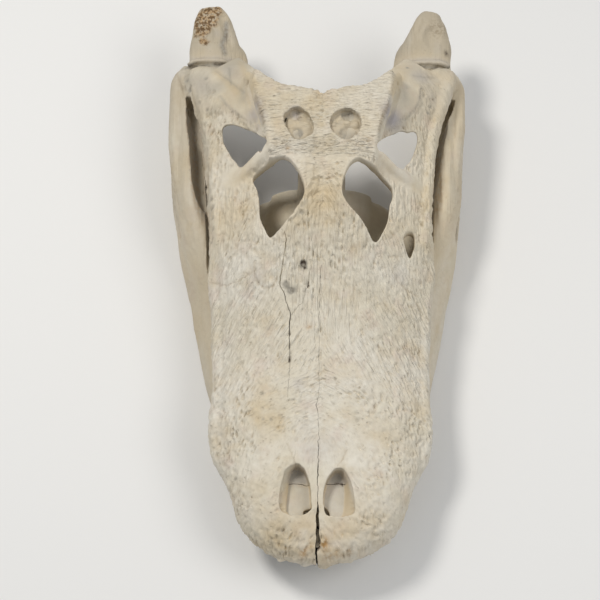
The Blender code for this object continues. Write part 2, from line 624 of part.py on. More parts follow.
def make_cranium(parts, cutters):
    top, size = roof_grid()
    roof = slab("roof", top, palate_under(top, size), parts)
    openings = (("right_orbit", RIGHT_ORBIT, ORBIT_DEPTH),
                ("left_orbit", LEFT_ORBIT, ORBIT_DEPTH),
                ("right_temporal", RIGHT_TEMPORAL, TEMPORAL_DEPTH),
                ("left_temporal", LEFT_TEMPORAL, TEMPORAL_DEPTH),
                ("right_naris", RIGHT_NARIS, NARIS_FLOOR),
                ("left_naris", LEFT_NARIS, NARIS_FLOOR),
                ("cheek_hole", CHEEK_HOLE, CHEEK_HOLE_DEPTH))
    for name, outline, low in openings:
        cut(roof, prism(name, outline, low, ABOVE_ALL, cutters))
    shapes = [roof] + middle_shapes(parts)
    line, run = rim_path()
    spots, _ = along(line, run, np.linspace(0, run[-1], 40))
    margin = soft_line(spots[:, 1], PALATE_STATIONS, MARGIN_HEIGHTS)
    thick = np.full(len(spots), RIM_HALF_WIDTH)
    for side, sign in SIDES:
        spine = np.stack([spots[:, 0] * sign, spots[:, 1], margin + RIM_RAISE], -1)
        spine[0, 0] = -RIM_OVERLAP * sign
        shapes.append(limb(f"{side}_rim", spine, thick, thick + 2, parts, sides=10))
        shapes += rear_shapes(side, sign, parts)
    skull = join("cranium", shapes, parts)
    fuse(skull, VOXEL, 1)
    for name, outline, heights in (("right_opening", RIGHT_TEMPORAL, RIGHT_TEMPORAL_HEIGHTS),
                                   ("left_opening", LEFT_TEMPORAL, LEFT_TEMPORAL_HEIGHTS)):
        cut(skull, undercut(name, outline, heights, TEMPORAL_LOW, ABOVE_ALL, cutters))
    right_window = [(-x, s) for x, s in PALATE_WINDOW]
    for cutter in (prism("right_pit", RIGHT_TABLE_PIT, PIT_FLOOR, ABOVE_ALL, cutters),
                   prism("left_pit", LEFT_TABLE_PIT, PIT_FLOOR, ABOVE_ALL, cutters),
                   prism("front_palate_hole", FRONT_PALATE_HOLE, BELOW_PALATE, FRONT_HOLE_TOP, cutters),
                   prism("right_window", right_window, BELOW_PALATE, WINDOW_TOP, cutters),
                   prism("left_window", PALATE_WINDOW, BELOW_PALATE, WINDOW_TOP, cutters),
                   limb("spinal_hole", SPINAL_LINE, (SPINAL_RADIUS,) * 2, (SPINAL_RADIUS,) * 2, cutters)):
        cut(skull, cutter)
    fuse(skull, VOXEL, 1)
    keep_largest(skull)
    thin_out(skull, CRANIUM_TRIANGLES)
    return skull


def rear_shapes(side, sign, parts):
    """Bones behind and under one side's roof."""
    def sided(*points):
        return [(x * sign, s, z) for x, s, z in points]

    quadrate = limb(f"{side}_quadrate", sided((30, 378, 130), (52, 402, 122), (72, 428, 108),
                                              (88, 446, 96), (98, 460, 91)),
                    (14, 20, 24, 27, 27), (12, 13, 12, 10, 7), parts, steps=3)
    bar = limb(f"{side}_eye_bar", sided((42, 354, 146), (52, 350, 135), (64, 344, 120),
                                        (76, 340, 104), (84, 338, 92)),
               (7, 6.5, 6.5, 7, 8), (6, 6, 6, 7, 8), parts, steps=3)
    cheek = limb(f"{side}_cheek", sided((90, 275, 72), (93, 305, 82), (96, 340, 84), (99, 375, 86),
                                        (104, 405, 88), (112, 433, 90), (117, 459, 90)),
                 (8, 7, 6, 6, 7, 8, 9), (12, 14, 13, 13, 12, 10, 7), parts, steps=2)
    wing = limb(f"{side}_wing", sided((0, 318, 68), (24, 320, 66), (46, 319, 59), (62, 324, 49),
                                      (73, 330, 36)),
                (30, 30, 28, 22, 14), (6, 5, 4, 4, 5), parts, steps=3)
    strut = limb(f"{side}_strut", sided((88, 283, 66), (82, 300, 62), (74, 316, 52), (69, 330, 46)),
                 (8, 8, 8, 8), (7, 6, 6, 7), parts, steps=2)
    back_wing = limb(f"{side}_back_wing", sided((12, 402, 132), (36, 408, 132), (56, 420, 132),
                                                (68, 432, 126)),
                     (7, 6, 6, 6), (14, 13, 12, 9), parts, steps=3)
    return [quadrate, bar, cheek, wing, strut, back_wing]


def middle_shapes(parts):
    """Bones on the midline under the roof."""
    tube = limb("palate_tube", [(0, 200, 62), (0, 225, 66), (0, 260, 70), (0, 300, 72), (0, 345, 70)],
                (22, 23, 24, 25, 22), (8, 12, 14, 14, 10), parts, steps=3)
    keel = limb("keel", [(0, 262, 82), (0, 285, 89), (0, 315, 97), (0, 345, 110)],
                (16, 14, 13, 16), (16, 22, 28, 30), parts, steps=3)
    brain = limb("brain_case", [(0, 335, 124), (0, 355, 124), (0, 380, 124), (0, 404, 128)],
                 (16, 24, 30, 32), (24, 27, 27, 22), parts, steps=3)
    throat = limb("throat_plate", [(0, 345, 70), (0, 368, 78), (0, 390, 96), (0, 404, 112)],
                  (22, 22, 22, 18), (9, 14, 14, 10), parts, steps=3)
    condyle = ball("condyle", (0, 412, 108), (10, 10, 9), parts)
    sill = block("narial_sill", (-30, 30, 50), (30, 84, NARIS_FLOOR + 1), parts)
    return [tube, keel, brain, throat, condyle, sill]


def make_jaw(side, sign, parts, cutters):
    """One half of the lower jaw, hollow behind, with flats that it lies on."""
    own = JAW_SIDES[side]

    def sided(*points):
        return [(x * sign + float(jaw_swing(s)), s, z) for x, s, z in points]

    def band(name, inner, outer, stations, low, cutter_group):
        """Upright cutter between two distances from the middle, given at stations along s."""
        stations = np.asarray(stations, float)
        outer = np.broadcast_to(np.asarray(outer, float), stations.shape)
        rows = np.stack([np.stack([np.full(stations.shape, inner * sign), outer * sign], 1),
                         np.stack([stations, stations], 1)], -1)
        tops = np.concatenate([rows, np.full(rows.shape[:2] + (1,), ABOVE_ALL)], -1)
        lows = np.concatenate([rows, np.full(rows.shape[:2] + (1,), low)], -1)
        cutter = slab(name, tops, lows, cutter_group)
        face_outward(cutter)
        return cutter

    beam_line = [(x + shift, s, z) for (x, s), z, shift in zip(JAW_LINE, JAW_MIDDLES, own["shifts"])]
    beam = limb(f"{side}_beam", sided(*beam_line), JAW_HALF_WIDTHS, JAW_HALF_HEIGHTS, parts, sides=16,
                lean=[a * sign for a in JAW_LEANS], steps=3)
    shoulder = limb(f"{side}_shoulder", sided(*own["shoulder"]), SHOULDER_WIDTHS, SHOULDER_HEIGHTS,
                    parts, steps=3)
    chin = limb(f"{side}_chin", sided((3, 33, 22), (10, 48, 18), (26, 66, 18), (42, 84, 20)),
                (16, 22, 20, 14), (12, 14, 15, 14), parts, steps=3)
    seat = limb(f"{side}_seat", sided((76, 460, 72), (98, 458, 70), (128, 456, 68)),
                (14, 17, 14), (12, 14, 16), parts, steps=3)
    heel = limb(f"{side}_heel", sided(*own["heel"]), own["heel_widths"], HEEL_HEIGHTS, parts, steps=3)
    lip = limb(f"{side}_lip", sided(*JOINT_LIP), (3.6,) * 5, (4.2,) * 5, parts, steps=2)
    jaw = join(f"{side}_lower_jaw", [beam, shoulder, chin, seat, heel, lip], parts)
    fuse(jaw, VOXEL, 1)
    pocket = limb("pocket", sided(*own["pocket"]), POCKET_WIDTHS, POCKET_HEIGHTS, cutters, steps=3)
    window = limb("window", sided((100, 330, 42), (150, 330, 42)), (22, 22), (10, 10), cutters)
    shelf_at = np.linspace(SHELF_START, SHELF_END, 15)
    shelf_edge = np.interp(shelf_at, CHEEK_STATIONS, CHEEK_EDGES[side]) + CHEEK_GAP
    shelf = band("shelf", SHELF_INNER, shelf_edge, shelf_at, SHELF_HEIGHT, cutters)
    for cutter in (pocket, window, shelf):
        cut(jaw, cutter)
    fuse(jaw, VOXEL, 1)
    keep_largest(jaw)
    thin_out(jaw, JAW_TRIANGLES)
    joint_low = (-BEYOND, JOINT_START, JOINT_HEIGHT - SEAT_GAP)
    glenoid = block("glenoid", joint_low, (BEYOND, JOINT_END, ABOVE_ALL), cutters)
    near, far = sorted((-BEYOND * sign, SEAT_GAP / 2 * sign))
    middle = block("middle", (near, -BEYOND, -BEYOND), (far, CHIN_END, ABOVE_ALL), cutters)
    ground = block("ground", (-BEYOND, -BEYOND, -BEYOND), (BEYOND, OVERALL_LENGTH + BEYOND, 0), cutters)
    for cutter in (glenoid, middle, ground):
        cut(jaw, cutter)
    return jaw


def main():
    for obj in list(bpy.data.objects):
        bpy.data.objects.remove(obj)
    parts = bpy.data.collections.new("alligator_skull")
    cutters = bpy.data.collections.new("cutters")
    bpy.context.scene.collection.children.link(parts)
    bpy.context.scene.collection.children.link(cutters)
    bone = material("weathered_bone", (0.80, 0.73, 0.58), 0.62)
    jaw_bone = material("lower_jaw_bone", (0.76, 0.69, 0.55), 0.60)
    enamel = material("tooth", (0.83, 0.77, 0.64), 0.38)

    skull = make_cranium(parts, cutters)
    under_joint = (BEYOND, OVERALL_LENGTH, JOINT_HEIGHT)
    cut(skull, block("joint_flat", (-BEYOND, JOINT_START, UNDER_JOINT), under_joint, cutters))
    cut(skull, prism("midline_gap", MIDLINE_GAP, BELOW_PALATE, ABOVE_ALL, cutters))
    uppers = upper_teeth()
    rooms = [tooth_mesh("room", tooth, -1, TOOTH_SIDES, SEAT_GAP, cutters) for _, tooth in uppers]
    cut(skull, join("upper_rooms", rooms, cutters))
    finish(skull, bone)
    for name, tooth in uppers:
        finish(tooth_mesh(name, tooth, -1, TOOTH_SIDES, 0.0, parts), enamel)

    for side, sign in SIDES:
        jaw = make_jaw(side, sign, parts, cutters)
        teeth = lower_teeth(side, sign)
        rooms = [tooth_mesh("room", tooth, 1, TOOTH_SIDES, SEAT_GAP, cutters)
                 for number, _, tooth in teeth if number in LOWER_SEPARATE]
        rooms += [tooth_mesh("notch", tooth, -1, TOOTH_SIDES, SEAT_GAP, cutters)
                  for name, tooth in uppers if side in name]
        cut(jaw, join("lower_rooms", rooms, cutters))
        small = [tooth_mesh("small", tooth, 1, SMALL_TOOTH_SIDES, 0.0, cutters)
                 for number, _, tooth in teeth if number not in LOWER_SEPARATE]
        unite(jaw, join("small_teeth", small, cutters))
        finish(jaw, jaw_bone)
        for number, name, tooth in teeth:
            if number in LOWER_SEPARATE:
                finish(tooth_mesh(name, tooth, 1, TOOTH_SIDES, 0.0, parts), enamel)


main()
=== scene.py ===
# Alligator skull lying on its closed lower jaw, in weathered bone.
# Drawing measures are millimetres: x across, s back from the snout tip, z up.
# Left and right are the animal's own, so its left side is at +x.
from math import pi

import bmesh
import bpy
import numpy as np
from mathutils import Matrix


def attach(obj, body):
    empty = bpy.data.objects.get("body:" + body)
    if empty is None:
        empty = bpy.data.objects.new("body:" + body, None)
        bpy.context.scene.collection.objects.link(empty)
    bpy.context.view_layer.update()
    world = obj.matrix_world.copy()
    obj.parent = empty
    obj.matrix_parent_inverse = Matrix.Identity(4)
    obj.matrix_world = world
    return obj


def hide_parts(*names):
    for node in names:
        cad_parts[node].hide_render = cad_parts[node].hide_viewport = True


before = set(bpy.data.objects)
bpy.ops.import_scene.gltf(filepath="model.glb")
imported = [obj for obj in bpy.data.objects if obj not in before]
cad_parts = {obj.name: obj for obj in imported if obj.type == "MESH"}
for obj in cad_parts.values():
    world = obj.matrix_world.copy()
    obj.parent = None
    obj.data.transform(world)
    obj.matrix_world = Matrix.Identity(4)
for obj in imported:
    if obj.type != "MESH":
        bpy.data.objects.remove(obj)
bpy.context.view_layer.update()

mm = 0.001
worldShift = 3.1      # the drawing's midline lies this far to the right of the model's
worldBack = 264.0     # half the overall length
sides = (("right", -1), ("left", 1))


# Numbers and curves

# drawing millimetres to world metres: (x + shift, s - half length, z) / 1000
def toWorld(points):
    points = np.asarray(points, float)
    return (points + (worldShift, -worldBack, 0.0)) * mm


# world metres to drawing millimetres, the other way round
def toDrawing(points):
    return np.asarray(points, float) / mm - (worldShift, -worldBack, 0.0)


# smooth step: 0 before a, 1 after b, 3t^2 - 2t^3 between
def ramp(value, a, b):
    t = np.clip((value - a) / (b - a), 0.0, 1.0)
    return t * t * (3 - 2 * t)


# bell: exp(-(d / width)^2)
def bell(d, width):
    return np.exp(-(d / width) ** 2)


# cubic through the stations with flat turning points: Hermite pieces whose tangents are harmonic means
def softLine(at, stations, values):
    stations = np.asarray(stations, float)
    values = np.asarray(values, float)
    steps = np.diff(stations)
    slopes = np.diff(values, axis=0) / steps.reshape((-1,) + (1,) * (values.ndim - 1))
    tangents = np.zeros_like(values)
    before, after = slopes[:-1], slopes[1:]
    sameWay = before * after > 0
    tangents[1:-1] = np.where(sameWay, 2 * before * after / np.where(sameWay, before + after, 1.0), 0.0)
    tangents[0], tangents[-1] = slopes[0], slopes[-1]
    at = np.clip(np.asarray(at, float), stations[0], stations[-1])
    cell = np.clip(np.searchsorted(stations, at, side="right") - 1, 0, len(steps) - 1)
    shape = at.shape + (1,) * (values.ndim - 1)
    width = steps[cell].reshape(shape)
    t = ((at - stations[cell]) / steps[cell]).reshape(shape)
    return ((2 * t**3 - 3 * t**2 + 1) * values[cell] + (t**3 - 2 * t**2 + t) * width * tangents[cell]
            + (3 * t**2 - 2 * t**3) * values[cell + 1] + (t**3 - t**2) * width * tangents[cell + 1])


# one value, or a list of one for each station, eased over the stations
def eased(at, count, values):
    return softLine(at, np.arange(count), np.broadcast_to(np.asarray(values, float), count))


# direction of a line at each of its points: its gradient over the gradient's length
def unitWay(line):
    way = np.gradient(line, axis=0)
    return way / np.linalg.norm(way, axis=1)[:, None]


# length along a line: running sum of the distances between its points
def lengthAlong(line):
    return np.concatenate([[0], np.cumsum(np.linalg.norm(np.diff(line, axis=0), axis=1))])


# closed loop through the points: Catmull-Rom pieces, perSide points on each
def smoothLoop(points, perSide=4):
    points = np.asarray(points, float)
    before, after, later = (np.roll(points, k, 0) for k in (1, -1, -2))
    out = []
    for t in np.arange(perSide) / perSide:
        out.append(0.5 * (2 * points + (after - before) * t
                          + (2 * before - 5 * points + 4 * after - later) * t**2
                          + (3 * points - before - 3 * after + later) * t**3))
    return np.stack(out, 1).reshape(-1, points.shape[1])


# fixed scatter of 0..1 from whole numbers: multiply, xor, shift
def scatter(i, j, k, salt):
    n = (i.astype(np.int64) * 73856093) ^ (j.astype(np.int64) * 19349663)
    n = n ^ (k * 83492791) ^ (salt * 265443577)
    n = ((n ^ (n >> 13)) * 1274126177) & 0xFFFFFFFF
    n = ((n ^ (n >> 15)) * 2246822519) & 0xFFFFFFFF
    return ((n ^ (n >> 14)) & 0xFFFFFF) / 0xFFFFFF


# value noise in space, -1..1: eight corner values blended by 6t^5 - 15t^4 + 10t^3
def softNoise(x, y, z, size, salt):
    q = [np.asarray(v, float) / size for v in (x, y, z)]
    base = [np.floor(v).astype(np.int64) for v in q]
    f = [v - b for v, b in zip(q, base)]
    w = [t * t * t * (t * (6 * t - 15) + 10) for t in f]
    total = 0.0
    for dx in (0, 1):
        for dy in (0, 1):
            for dz in (0, 1):
                share = ((w[0] if dx else 1 - w[0]) * (w[1] if dy else 1 - w[1]) * (w[2] if dz else 1 - w[2]))
                total = total + share * scatter(base[0] + dx, base[1] + dy, base[2] + dz, salt)
    return total * 2 - 1


# dents of a jittered square grid: deepest at each seed, gone at sharp cells away, each with its own depth
def dents(u, v, salt, sharp=0.46):
    iu, iv = np.floor(u).astype(np.int64), np.floor(v).astype(np.int64)
    near = np.full(u.shape, 9.0)
    kind = np.zeros(u.shape)
    for di in (-1, 0, 1):
        for dj in (-1, 0, 1):
            ci, cj = iu + di, iv + dj
            du = ci + 0.5 + 0.9 * (scatter(ci, cj, 1, salt) - 0.5) - u
            dv = cj + 0.5 + 0.9 * (scatter(ci, cj, 2, salt) - 0.5) - v
            d = du * du + dv * dv
            closer = d < near
            kind = np.where(closer, scatter(ci, cj, 3, salt), kind)
            near = np.where(closer, d, near)
    return (1 - ramp(np.sqrt(near), 0.12, sharp)) * (0.2 + 0.8 * kind)


# distance to a run of points: the least over its straight pieces
def lineDistance(x, s, line, reach=12.0):
    line = np.asarray(line, float)
    out = np.full(x.shape, reach)
    low, high = line.min(0) - reach, line.max(0) + reach
    at = np.nonzero((x > low[0]) & (x < high[0]) & (s > low[1]) & (s < high[1]))[0]
    px, ps = x[at], s[at]
    best = np.full(at.shape, reach)
    for (ax, ay), (bx, by) in zip(line[:-1], line[1:]):
        lx, ly = bx - ax, by - ay
        t = np.clip(((px - ax) * lx + (ps - ay) * ly) / max(lx * lx + ly * ly, 1e-9), 0, 1)
        best = np.minimum(best, np.hypot(px - ax - t * lx, ps - ay - t * ly))
    out[at] = best
    return out


# distance to a closed outline, negative inside it
def edgeDistance(x, s, outline, reach=16.0):
    loop = smoothLoop(outline, 3)
    closed = np.concatenate([loop, loop[:1]])
    out = lineDistance(x, s, closed, reach)
    low, high = loop.min(0), loop.max(0)
    at = np.nonzero((x > low[0]) & (x < high[0]) & (s > low[1]) & (s < high[1]))[0]
    px, ps = x[at], s[at]
    inside = np.zeros(at.shape, bool)
    for (ax, ay), (bx, by) in zip(closed[:-1], closed[1:]):
        if ay != by:
            inside ^= ((ay > ps) != (by > ps)) & (px < (bx - ax) * (ps - ay) / (by - ay) + ax)
    out[at] = np.where(inside, -out[at], out[at])
    return out


# Surfaces

# triangles of a grid of points; wrapped round when it is a tube
def gridFaces(rows, cols, wrapped):
    a = np.arange(rows * cols).reshape(rows, cols)
    b = np.roll(a, -1, 1) if wrapped else a[:, 1:]
    a = a if wrapped else a[:, :-1]
    p, q, r, t = (v.reshape(-1) for v in (a[:-1], b[:-1], b[1:], a[1:]))
    return np.concatenate([np.stack([p, r, t], -1), np.stack([p, q, r], -1)])


# faces turned so that the volume, the sum of corner triple products over six, is positive
def outward(verts, faces):
    a, b, c = (verts[faces[:, k]] for k in range(3))
    if np.einsum("ij,ij->i", a, np.cross(b, c)).sum() < 0:
        faces = faces[:, ::-1]
    return verts, faces


# closed tube through rings of points, with a fan over each end
def tube(rings):
    rows, count = rings.shape[:2]
    verts = np.concatenate([rings.reshape(-1, 3), rings[0].mean(0)[None], rings[-1].mean(0)[None]])
    ring = np.arange(count)
    after = np.roll(ring, -1)
    first, last = np.full(count, rows * count), np.full(count, rows * count + 1)
    start = (rows - 1) * count
    ends = np.concatenate([np.stack([first, after, ring], -1),
                           np.stack([last, start + ring, start + after], -1)])
    return outward(verts, np.concatenate([gridFaces(rows, count, True), ends]))


# closed solid between an upper and a lower grid
def slab(top, bottom):
    rows, cols = top.shape[:2]
    at = np.arange(rows * cols).reshape(rows, cols)
    under = at + rows * cols
    rim = np.concatenate([at[0, :-1], at[:-1, -1], at[-1, :0:-1], at[:0:-1, 0]])
    rimUnder = rim + rows * cols
    after, afterUnder = np.roll(rim, -1), np.roll(rimUnder, -1)
    walls = np.concatenate([np.stack([rim, rimUnder, after], -1),
                            np.stack([after, rimUnder, afterUnder], -1)])
    lid = gridFaces(rows, cols, False)
    verts = np.concatenate([top.reshape(-1, 3), bottom.reshape(-1, 3)])
    return outward(verts, np.concatenate([lid, walls, lid[:, ::-1] + under[0, 0]]))


# loft of ellipses along a line: centre + wide cos a across + high sin a up, leant round the line
def limb(line, halfWidths, halfHeights, around=28, lean=0.0, steps=8):
    line = np.asarray(line, float)
    count = len(line)
    at = np.linspace(0, count - 1, (count - 1) * steps + 1)
    centres = softLine(at, np.arange(count), line)
    wide, high, lean = (eased(at, count, values) for values in (halfWidths, halfHeights, np.radians(lean)))
    way = unitWay(centres)
    level = np.cross(way, (0, 0, 1))
    length = np.linalg.norm(level, axis=1)[:, None]
    level = np.where(length > 0.05, level / np.maximum(length, 0.05), (1.0, 0, 0))
    up = np.cross(level, way)
    leantUp = up * np.cos(lean)[:, None] - level * np.sin(lean)[:, None]
    leantSide = level * np.cos(lean)[:, None] + up * np.sin(lean)[:, None]
    turn = np.linspace(0, 2 * pi, around, endpoint=False)
    return tube(centres[:, None] + (wide[:, None] * np.cos(turn))[..., None] * leantSide[:, None]
                + (high[:, None] * np.sin(turn))[..., None] * leantUp[:, None])


# ellipsoid: middle + radii * (sin b cos a, sin b sin a, cos b)
def ball(middle, radii, around=24, rows=14):
    b = np.linspace(0.02, pi - 0.02, rows)[:, None]
    a = np.linspace(0, 2 * pi, around, endpoint=False)[None]
    unit = np.stack([np.sin(b) * np.cos(a), np.sin(b) * np.sin(a), np.cos(b) + 0 * a], -1)
    return tube(np.asarray(middle, float) + np.asarray(radii, float) * unit)


# upright prism on a closed outline, in two storeys
def prism(outline, low, high):
    loop = smoothLoop(outline)
    return tube(np.stack([np.column_stack([loop, np.full(len(loop), low + (high - low) * k)])
                          for k in (0.0, 0.5, 1.0)]))


# cutter that is upright above its outline and leans back below it, by a share of the depth
def undercut(outline, heights, low, high, lean=0.55):
    loop = smoothLoop(np.column_stack([outline, heights]))
    x, s, z = loop.T
    under = np.column_stack([x, s + lean * (z - low), np.full(len(loop), low)])
    return tube(np.stack([under, loop, np.column_stack([x, s, np.full(len(loop), high)])]))


# cutter through closed outlines of equal count, the last one carried straight up
def funnel(outlines, high):
    rings = [smoothLoop(outline) for outline in outlines]
    rings.append(np.column_stack([rings[-1][:, :2], np.full(len(rings[-1]), high)]))
    return tube(np.stack(rings))


# box between two corners
def block(low, high):
    low, high = np.asarray(low, float), np.asarray(high, float)
    ring = np.array([(0, 0), (1, 0), (1, 1), (0, 1)], float)
    ring = ring * (high - low)[:2] + low[:2]
    return tube(np.stack([np.column_stack([ring, np.full(4, z)]) for z in (low[2], high[2])]))


# thin wedge along a wandering line of points: half as wide at the bottom as at the top
def wedge(line, halfWidths, tops, bottoms, perPiece=6):
    line = np.asarray(line, float)
    count = len(line)
    at = np.linspace(0, count - 1, (count - 1) * perPiece + 1)
    mid = softLine(at, np.arange(count), line)
    half, top, low = (eased(at, count, values) for values in (halfWidths, tops, bottoms))
    way = unitWay(mid)
    side = np.stack([way[:, 1], -way[:, 0]], -1)
    mid = mid + side * (softNoise(mid[:, 0], mid[:, 1], 0 * at, 2.6, 91) * 0.5)[:, None]
    upper, under = (np.stack([np.column_stack([mid + side * half[:, None] * k, level])
                              for k in (-share, share)], 1) for share, level in ((1, top), (0.5, low)))
    return slab(upper, under)


# several closed shapes in one list of points and faces
def together(shapes):
    verts, faces, count = [], [], 0
    for v, f in shapes:
        verts.append(v)
        faces.append(f + count)
        count += len(v)
    return np.concatenate(verts), np.concatenate(faces)


# mesh object from drawing points and faces of equal length, linked to the scene
def makeObject(name, shape):
    verts, faces = shape
    mesh = bpy.data.meshes.new(name)
    mesh.vertices.add(len(verts))
    mesh.vertices.foreach_set("co", toWorld(verts).astype(np.float32).ravel())
    mesh.loops.add(faces.size)
    mesh.loops.foreach_set("vertex_index", np.ascontiguousarray(faces, dtype=np.int32).ravel())
    mesh.polygons.add(len(faces))
    mesh.polygons.foreach_set("loop_start", np.arange(len(faces), dtype=np.int32) * faces.shape[1])
    mesh.update(calc_edges=True)
    mesh.validate()
    obj = bpy.data.objects.new(name, mesh)
    bpy.context.scene.collection.objects.link(obj)
    return obj


# keeps the shape that the modifiers give
def settle(obj):
    graph = bpy.context.evaluated_depsgraph_get()
    mesh = bpy.data.meshes.new_from_object(obj.evaluated_get(graph))
    obj.modifiers.clear()
    old = obj.data
    obj.data = mesh
    bpy.data.meshes.remove(old)


# grows overlapping shapes together into one skin, then eases the steps
def fuse(obj, voxel, rounds):
    remesh = obj.modifiers.new("fuse", "REMESH")
    remesh.mode = "VOXEL"
    remesh.voxel_size = voxel * mm
    ease = obj.modifiers.new("ease", "SMOOTH")
    ease.factor = 0.5
    ease.iterations = rounds
    settle(obj)


# takes a closed shape away; the skin has to be closed too
def carve(obj, shape):
    cutter = makeObject("cutter", shape)
    boolean = obj.modifiers.new("carve", "BOOLEAN")
    boolean.operation = "DIFFERENCE"
    boolean.solver = "MANIFOLD"
    boolean.object = cutter
    settle(obj)
    bpy.data.objects.remove(cutter)


# thins the mesh to so many triangles, first where free is set, down to a ninth there
def thinOut(obj, triangles, free=None):
    if free is not None:
        obj.vertex_groups.new(name="free").add(np.nonzero(free)[0].tolist(), 1.0, "REPLACE")
        thin(obj, max(triangles / triangleCount(obj), 1 - free.mean() * 8 / 9), "free")
        obj.vertex_groups.clear()
    thin(obj, triangles / triangleCount(obj))


# keeps that share of the triangles
def thin(obj, ratio, group=""):
    if ratio < 1:
        decimate = obj.modifiers.new("thin", "DECIMATE")
        decimate.ratio = ratio
        decimate.vertex_group = group
        settle(obj)


# triangles of a mesh: loops less two for each face
def triangleCount(obj):
    return len(obj.data.loops) - 2 * len(obj.data.polygons)


# points in drawing millimetres and their normals
def pointsOf(obj):
    count = len(obj.data.vertices)
    co = np.empty(count * 3, np.float32)
    normals = np.empty(count * 3, np.float32)
    obj.data.vertices.foreach_get("co", co)
    obj.data.vertex_normals.foreach_get("vector", normals)
    return toDrawing(co.reshape(-1, 3)), normals.reshape(-1, 3).astype(float)


# moves every point along its normal by that many millimetres
def pushOut(obj, heights):
    points, normals = pointsOf(obj)
    moved = toWorld(points + normals * heights[:, None])
    obj.data.vertices.foreach_set("co", moved.astype(np.float32).ravel())
    obj.data.update()


# values from 0 to 1 as a layer of the points
def paint(obj, name, values):
    layer = obj.data.attributes.new(name, "FLOAT", "POINT")
    layer.data.foreach_set("value", np.clip(values, 0, 1).astype(np.float32))


# loose crumbs go, the largest run of joined points stays: each point takes its least neighbour's label
def keepLargest(obj):
    mesh = obj.data
    edges = np.empty(len(mesh.edges) * 2, np.int32)
    mesh.edges.foreach_get("vertices", edges)
    first, second = edges.reshape(-1, 2).T
    label = np.arange(len(mesh.vertices))
    changed = True
    while changed:
        least = np.minimum(label[first], label[second])
        new = label.copy()
        np.minimum.at(new, first, least)
        np.minimum.at(new, second, least)
        new = new[new[new]]
        changed = (new != label).any()
        label = new
    names, counts = np.unique(label, return_counts=True)
    if len(names) > 1:
        bm = bmesh.new()
        bm.from_mesh(mesh)
        bm.verts.ensure_lookup_table()
        loose = np.nonzero(label != names[counts.argmax()])[0]
        bmesh.ops.delete(bm, geom=[bm.verts[int(i)] for i in loose], context="VERTS")
        bm.to_mesh(mesh)
        bm.free()


# smooth shading, with a sharp edge where faces meet at more than the angle
def smoothShade(obj, angle):
    obj.data.shade_smooth()
    obj.data.set_sharp_from_angle(angle=angle * pi / 180)


# Measures of the skull, as in its solids

craniumStations = (
    0, 38, 55, 75, 97, 117, 143, 168, 190, 215, 240, 262, 280, 300, 325, 344, 377, 398, 418, 435, 455, 472)
craniumHalfWidths = (
    52, 68.5, 75, 85, 96, 99, 97.5, 96.5, 97.5, 98.5, 100.5, 103, 102, 101.5, 103, 104.5, 107.5, 111, 120,
    125, 131, 127)
tableStations = (0, 100, 250, 300, 347, 363, 377, 388, 401, 417, 428, 472)
tableHalfWidths = (30, 48, 46, 46, 47, 50, 53, 57, 60, 63, 62, 62)
backShares = (0.0, 0.055, 0.16, 0.25, 0.31, 0.4, 0.475, 0.5, 0.54, 0.58, 0.65, 0.8, 1.0)
backEnds = (404, 408, 410.3, 411.5, 413.2, 419.8, 426, 427.5, 433, 443, 457, 464, 460)
roofShares = (0.0, 0.2, 0.36, 0.47, 0.5, 0.54, 0.64, 0.78, 0.91, 1.0)
roofRows = {
    0: (46, 46, 46, 46, 46, 46, 46, 46, 46, 46),
    3: (61, 61, 60, 59, 59, 58, 57, 54, 50, 46),
    10: (69, 70, 69, 68, 68, 67, 64, 60, 54, 45),
    25: (76, 78, 78, 76, 75, 74, 71, 65, 57, 44),
    45: (80, 83, 83, 81, 80, 79, 75, 68, 59, 42),
    75: (83, 86, 86, 84, 83, 82, 78, 71, 60, 41),
    100: (84, 87, 87, 85, 85, 84, 80, 73, 62, 42),
    130: (85, 88, 89, 87, 86, 85, 82, 76, 66, 46),
    175: (88, 90, 90, 88, 87, 86, 82, 75, 64, 46),
    220: (95, 97, 96, 94, 93, 92, 88, 81, 71, 52),
    255: (107, 111, 110, 107, 106, 104, 99, 91, 80, 58),
    285: (121, 129, 127, 122, 120, 117, 111, 101, 88, 63),
    310: (134, 144, 140, 130, 127, 123, 117, 106, 92, 66),
    335: (145, 151, 149, 142, 138, 131, 118, 107, 95, 69),
    345: (148, 152, 151, 148, 146, 134, 118, 108, 95, 70),
    355: (150, 153, 153, 152, 151, 137, 119, 110, 96, 71),
    375: (151, 153, 154, 154, 153, 139, 121, 111, 97, 74),
    395: (153, 154, 155, 155, 154, 138, 114, 103, 93, 77),
    405: (151, 153, 154, 154, 152, 130, 100, 94, 90, 82),
}
frontRowsEnd, frontCorner, frontHalfWidth = 100.0, 55.0, 75.0
tableStart, tableLabelEnd = 345.0, 405.0
palateStations = (0, 20, 48, 85, 130, 175, 230, 280, 330, 400, 470)
marginHeights = (46, 43, 46, 41, 48, 46, 53, 61, 67, 72, 80)
palateHeight, palateEnd, palateFade, boneSheet = 59.0, 270.0, 16.0, 9.0

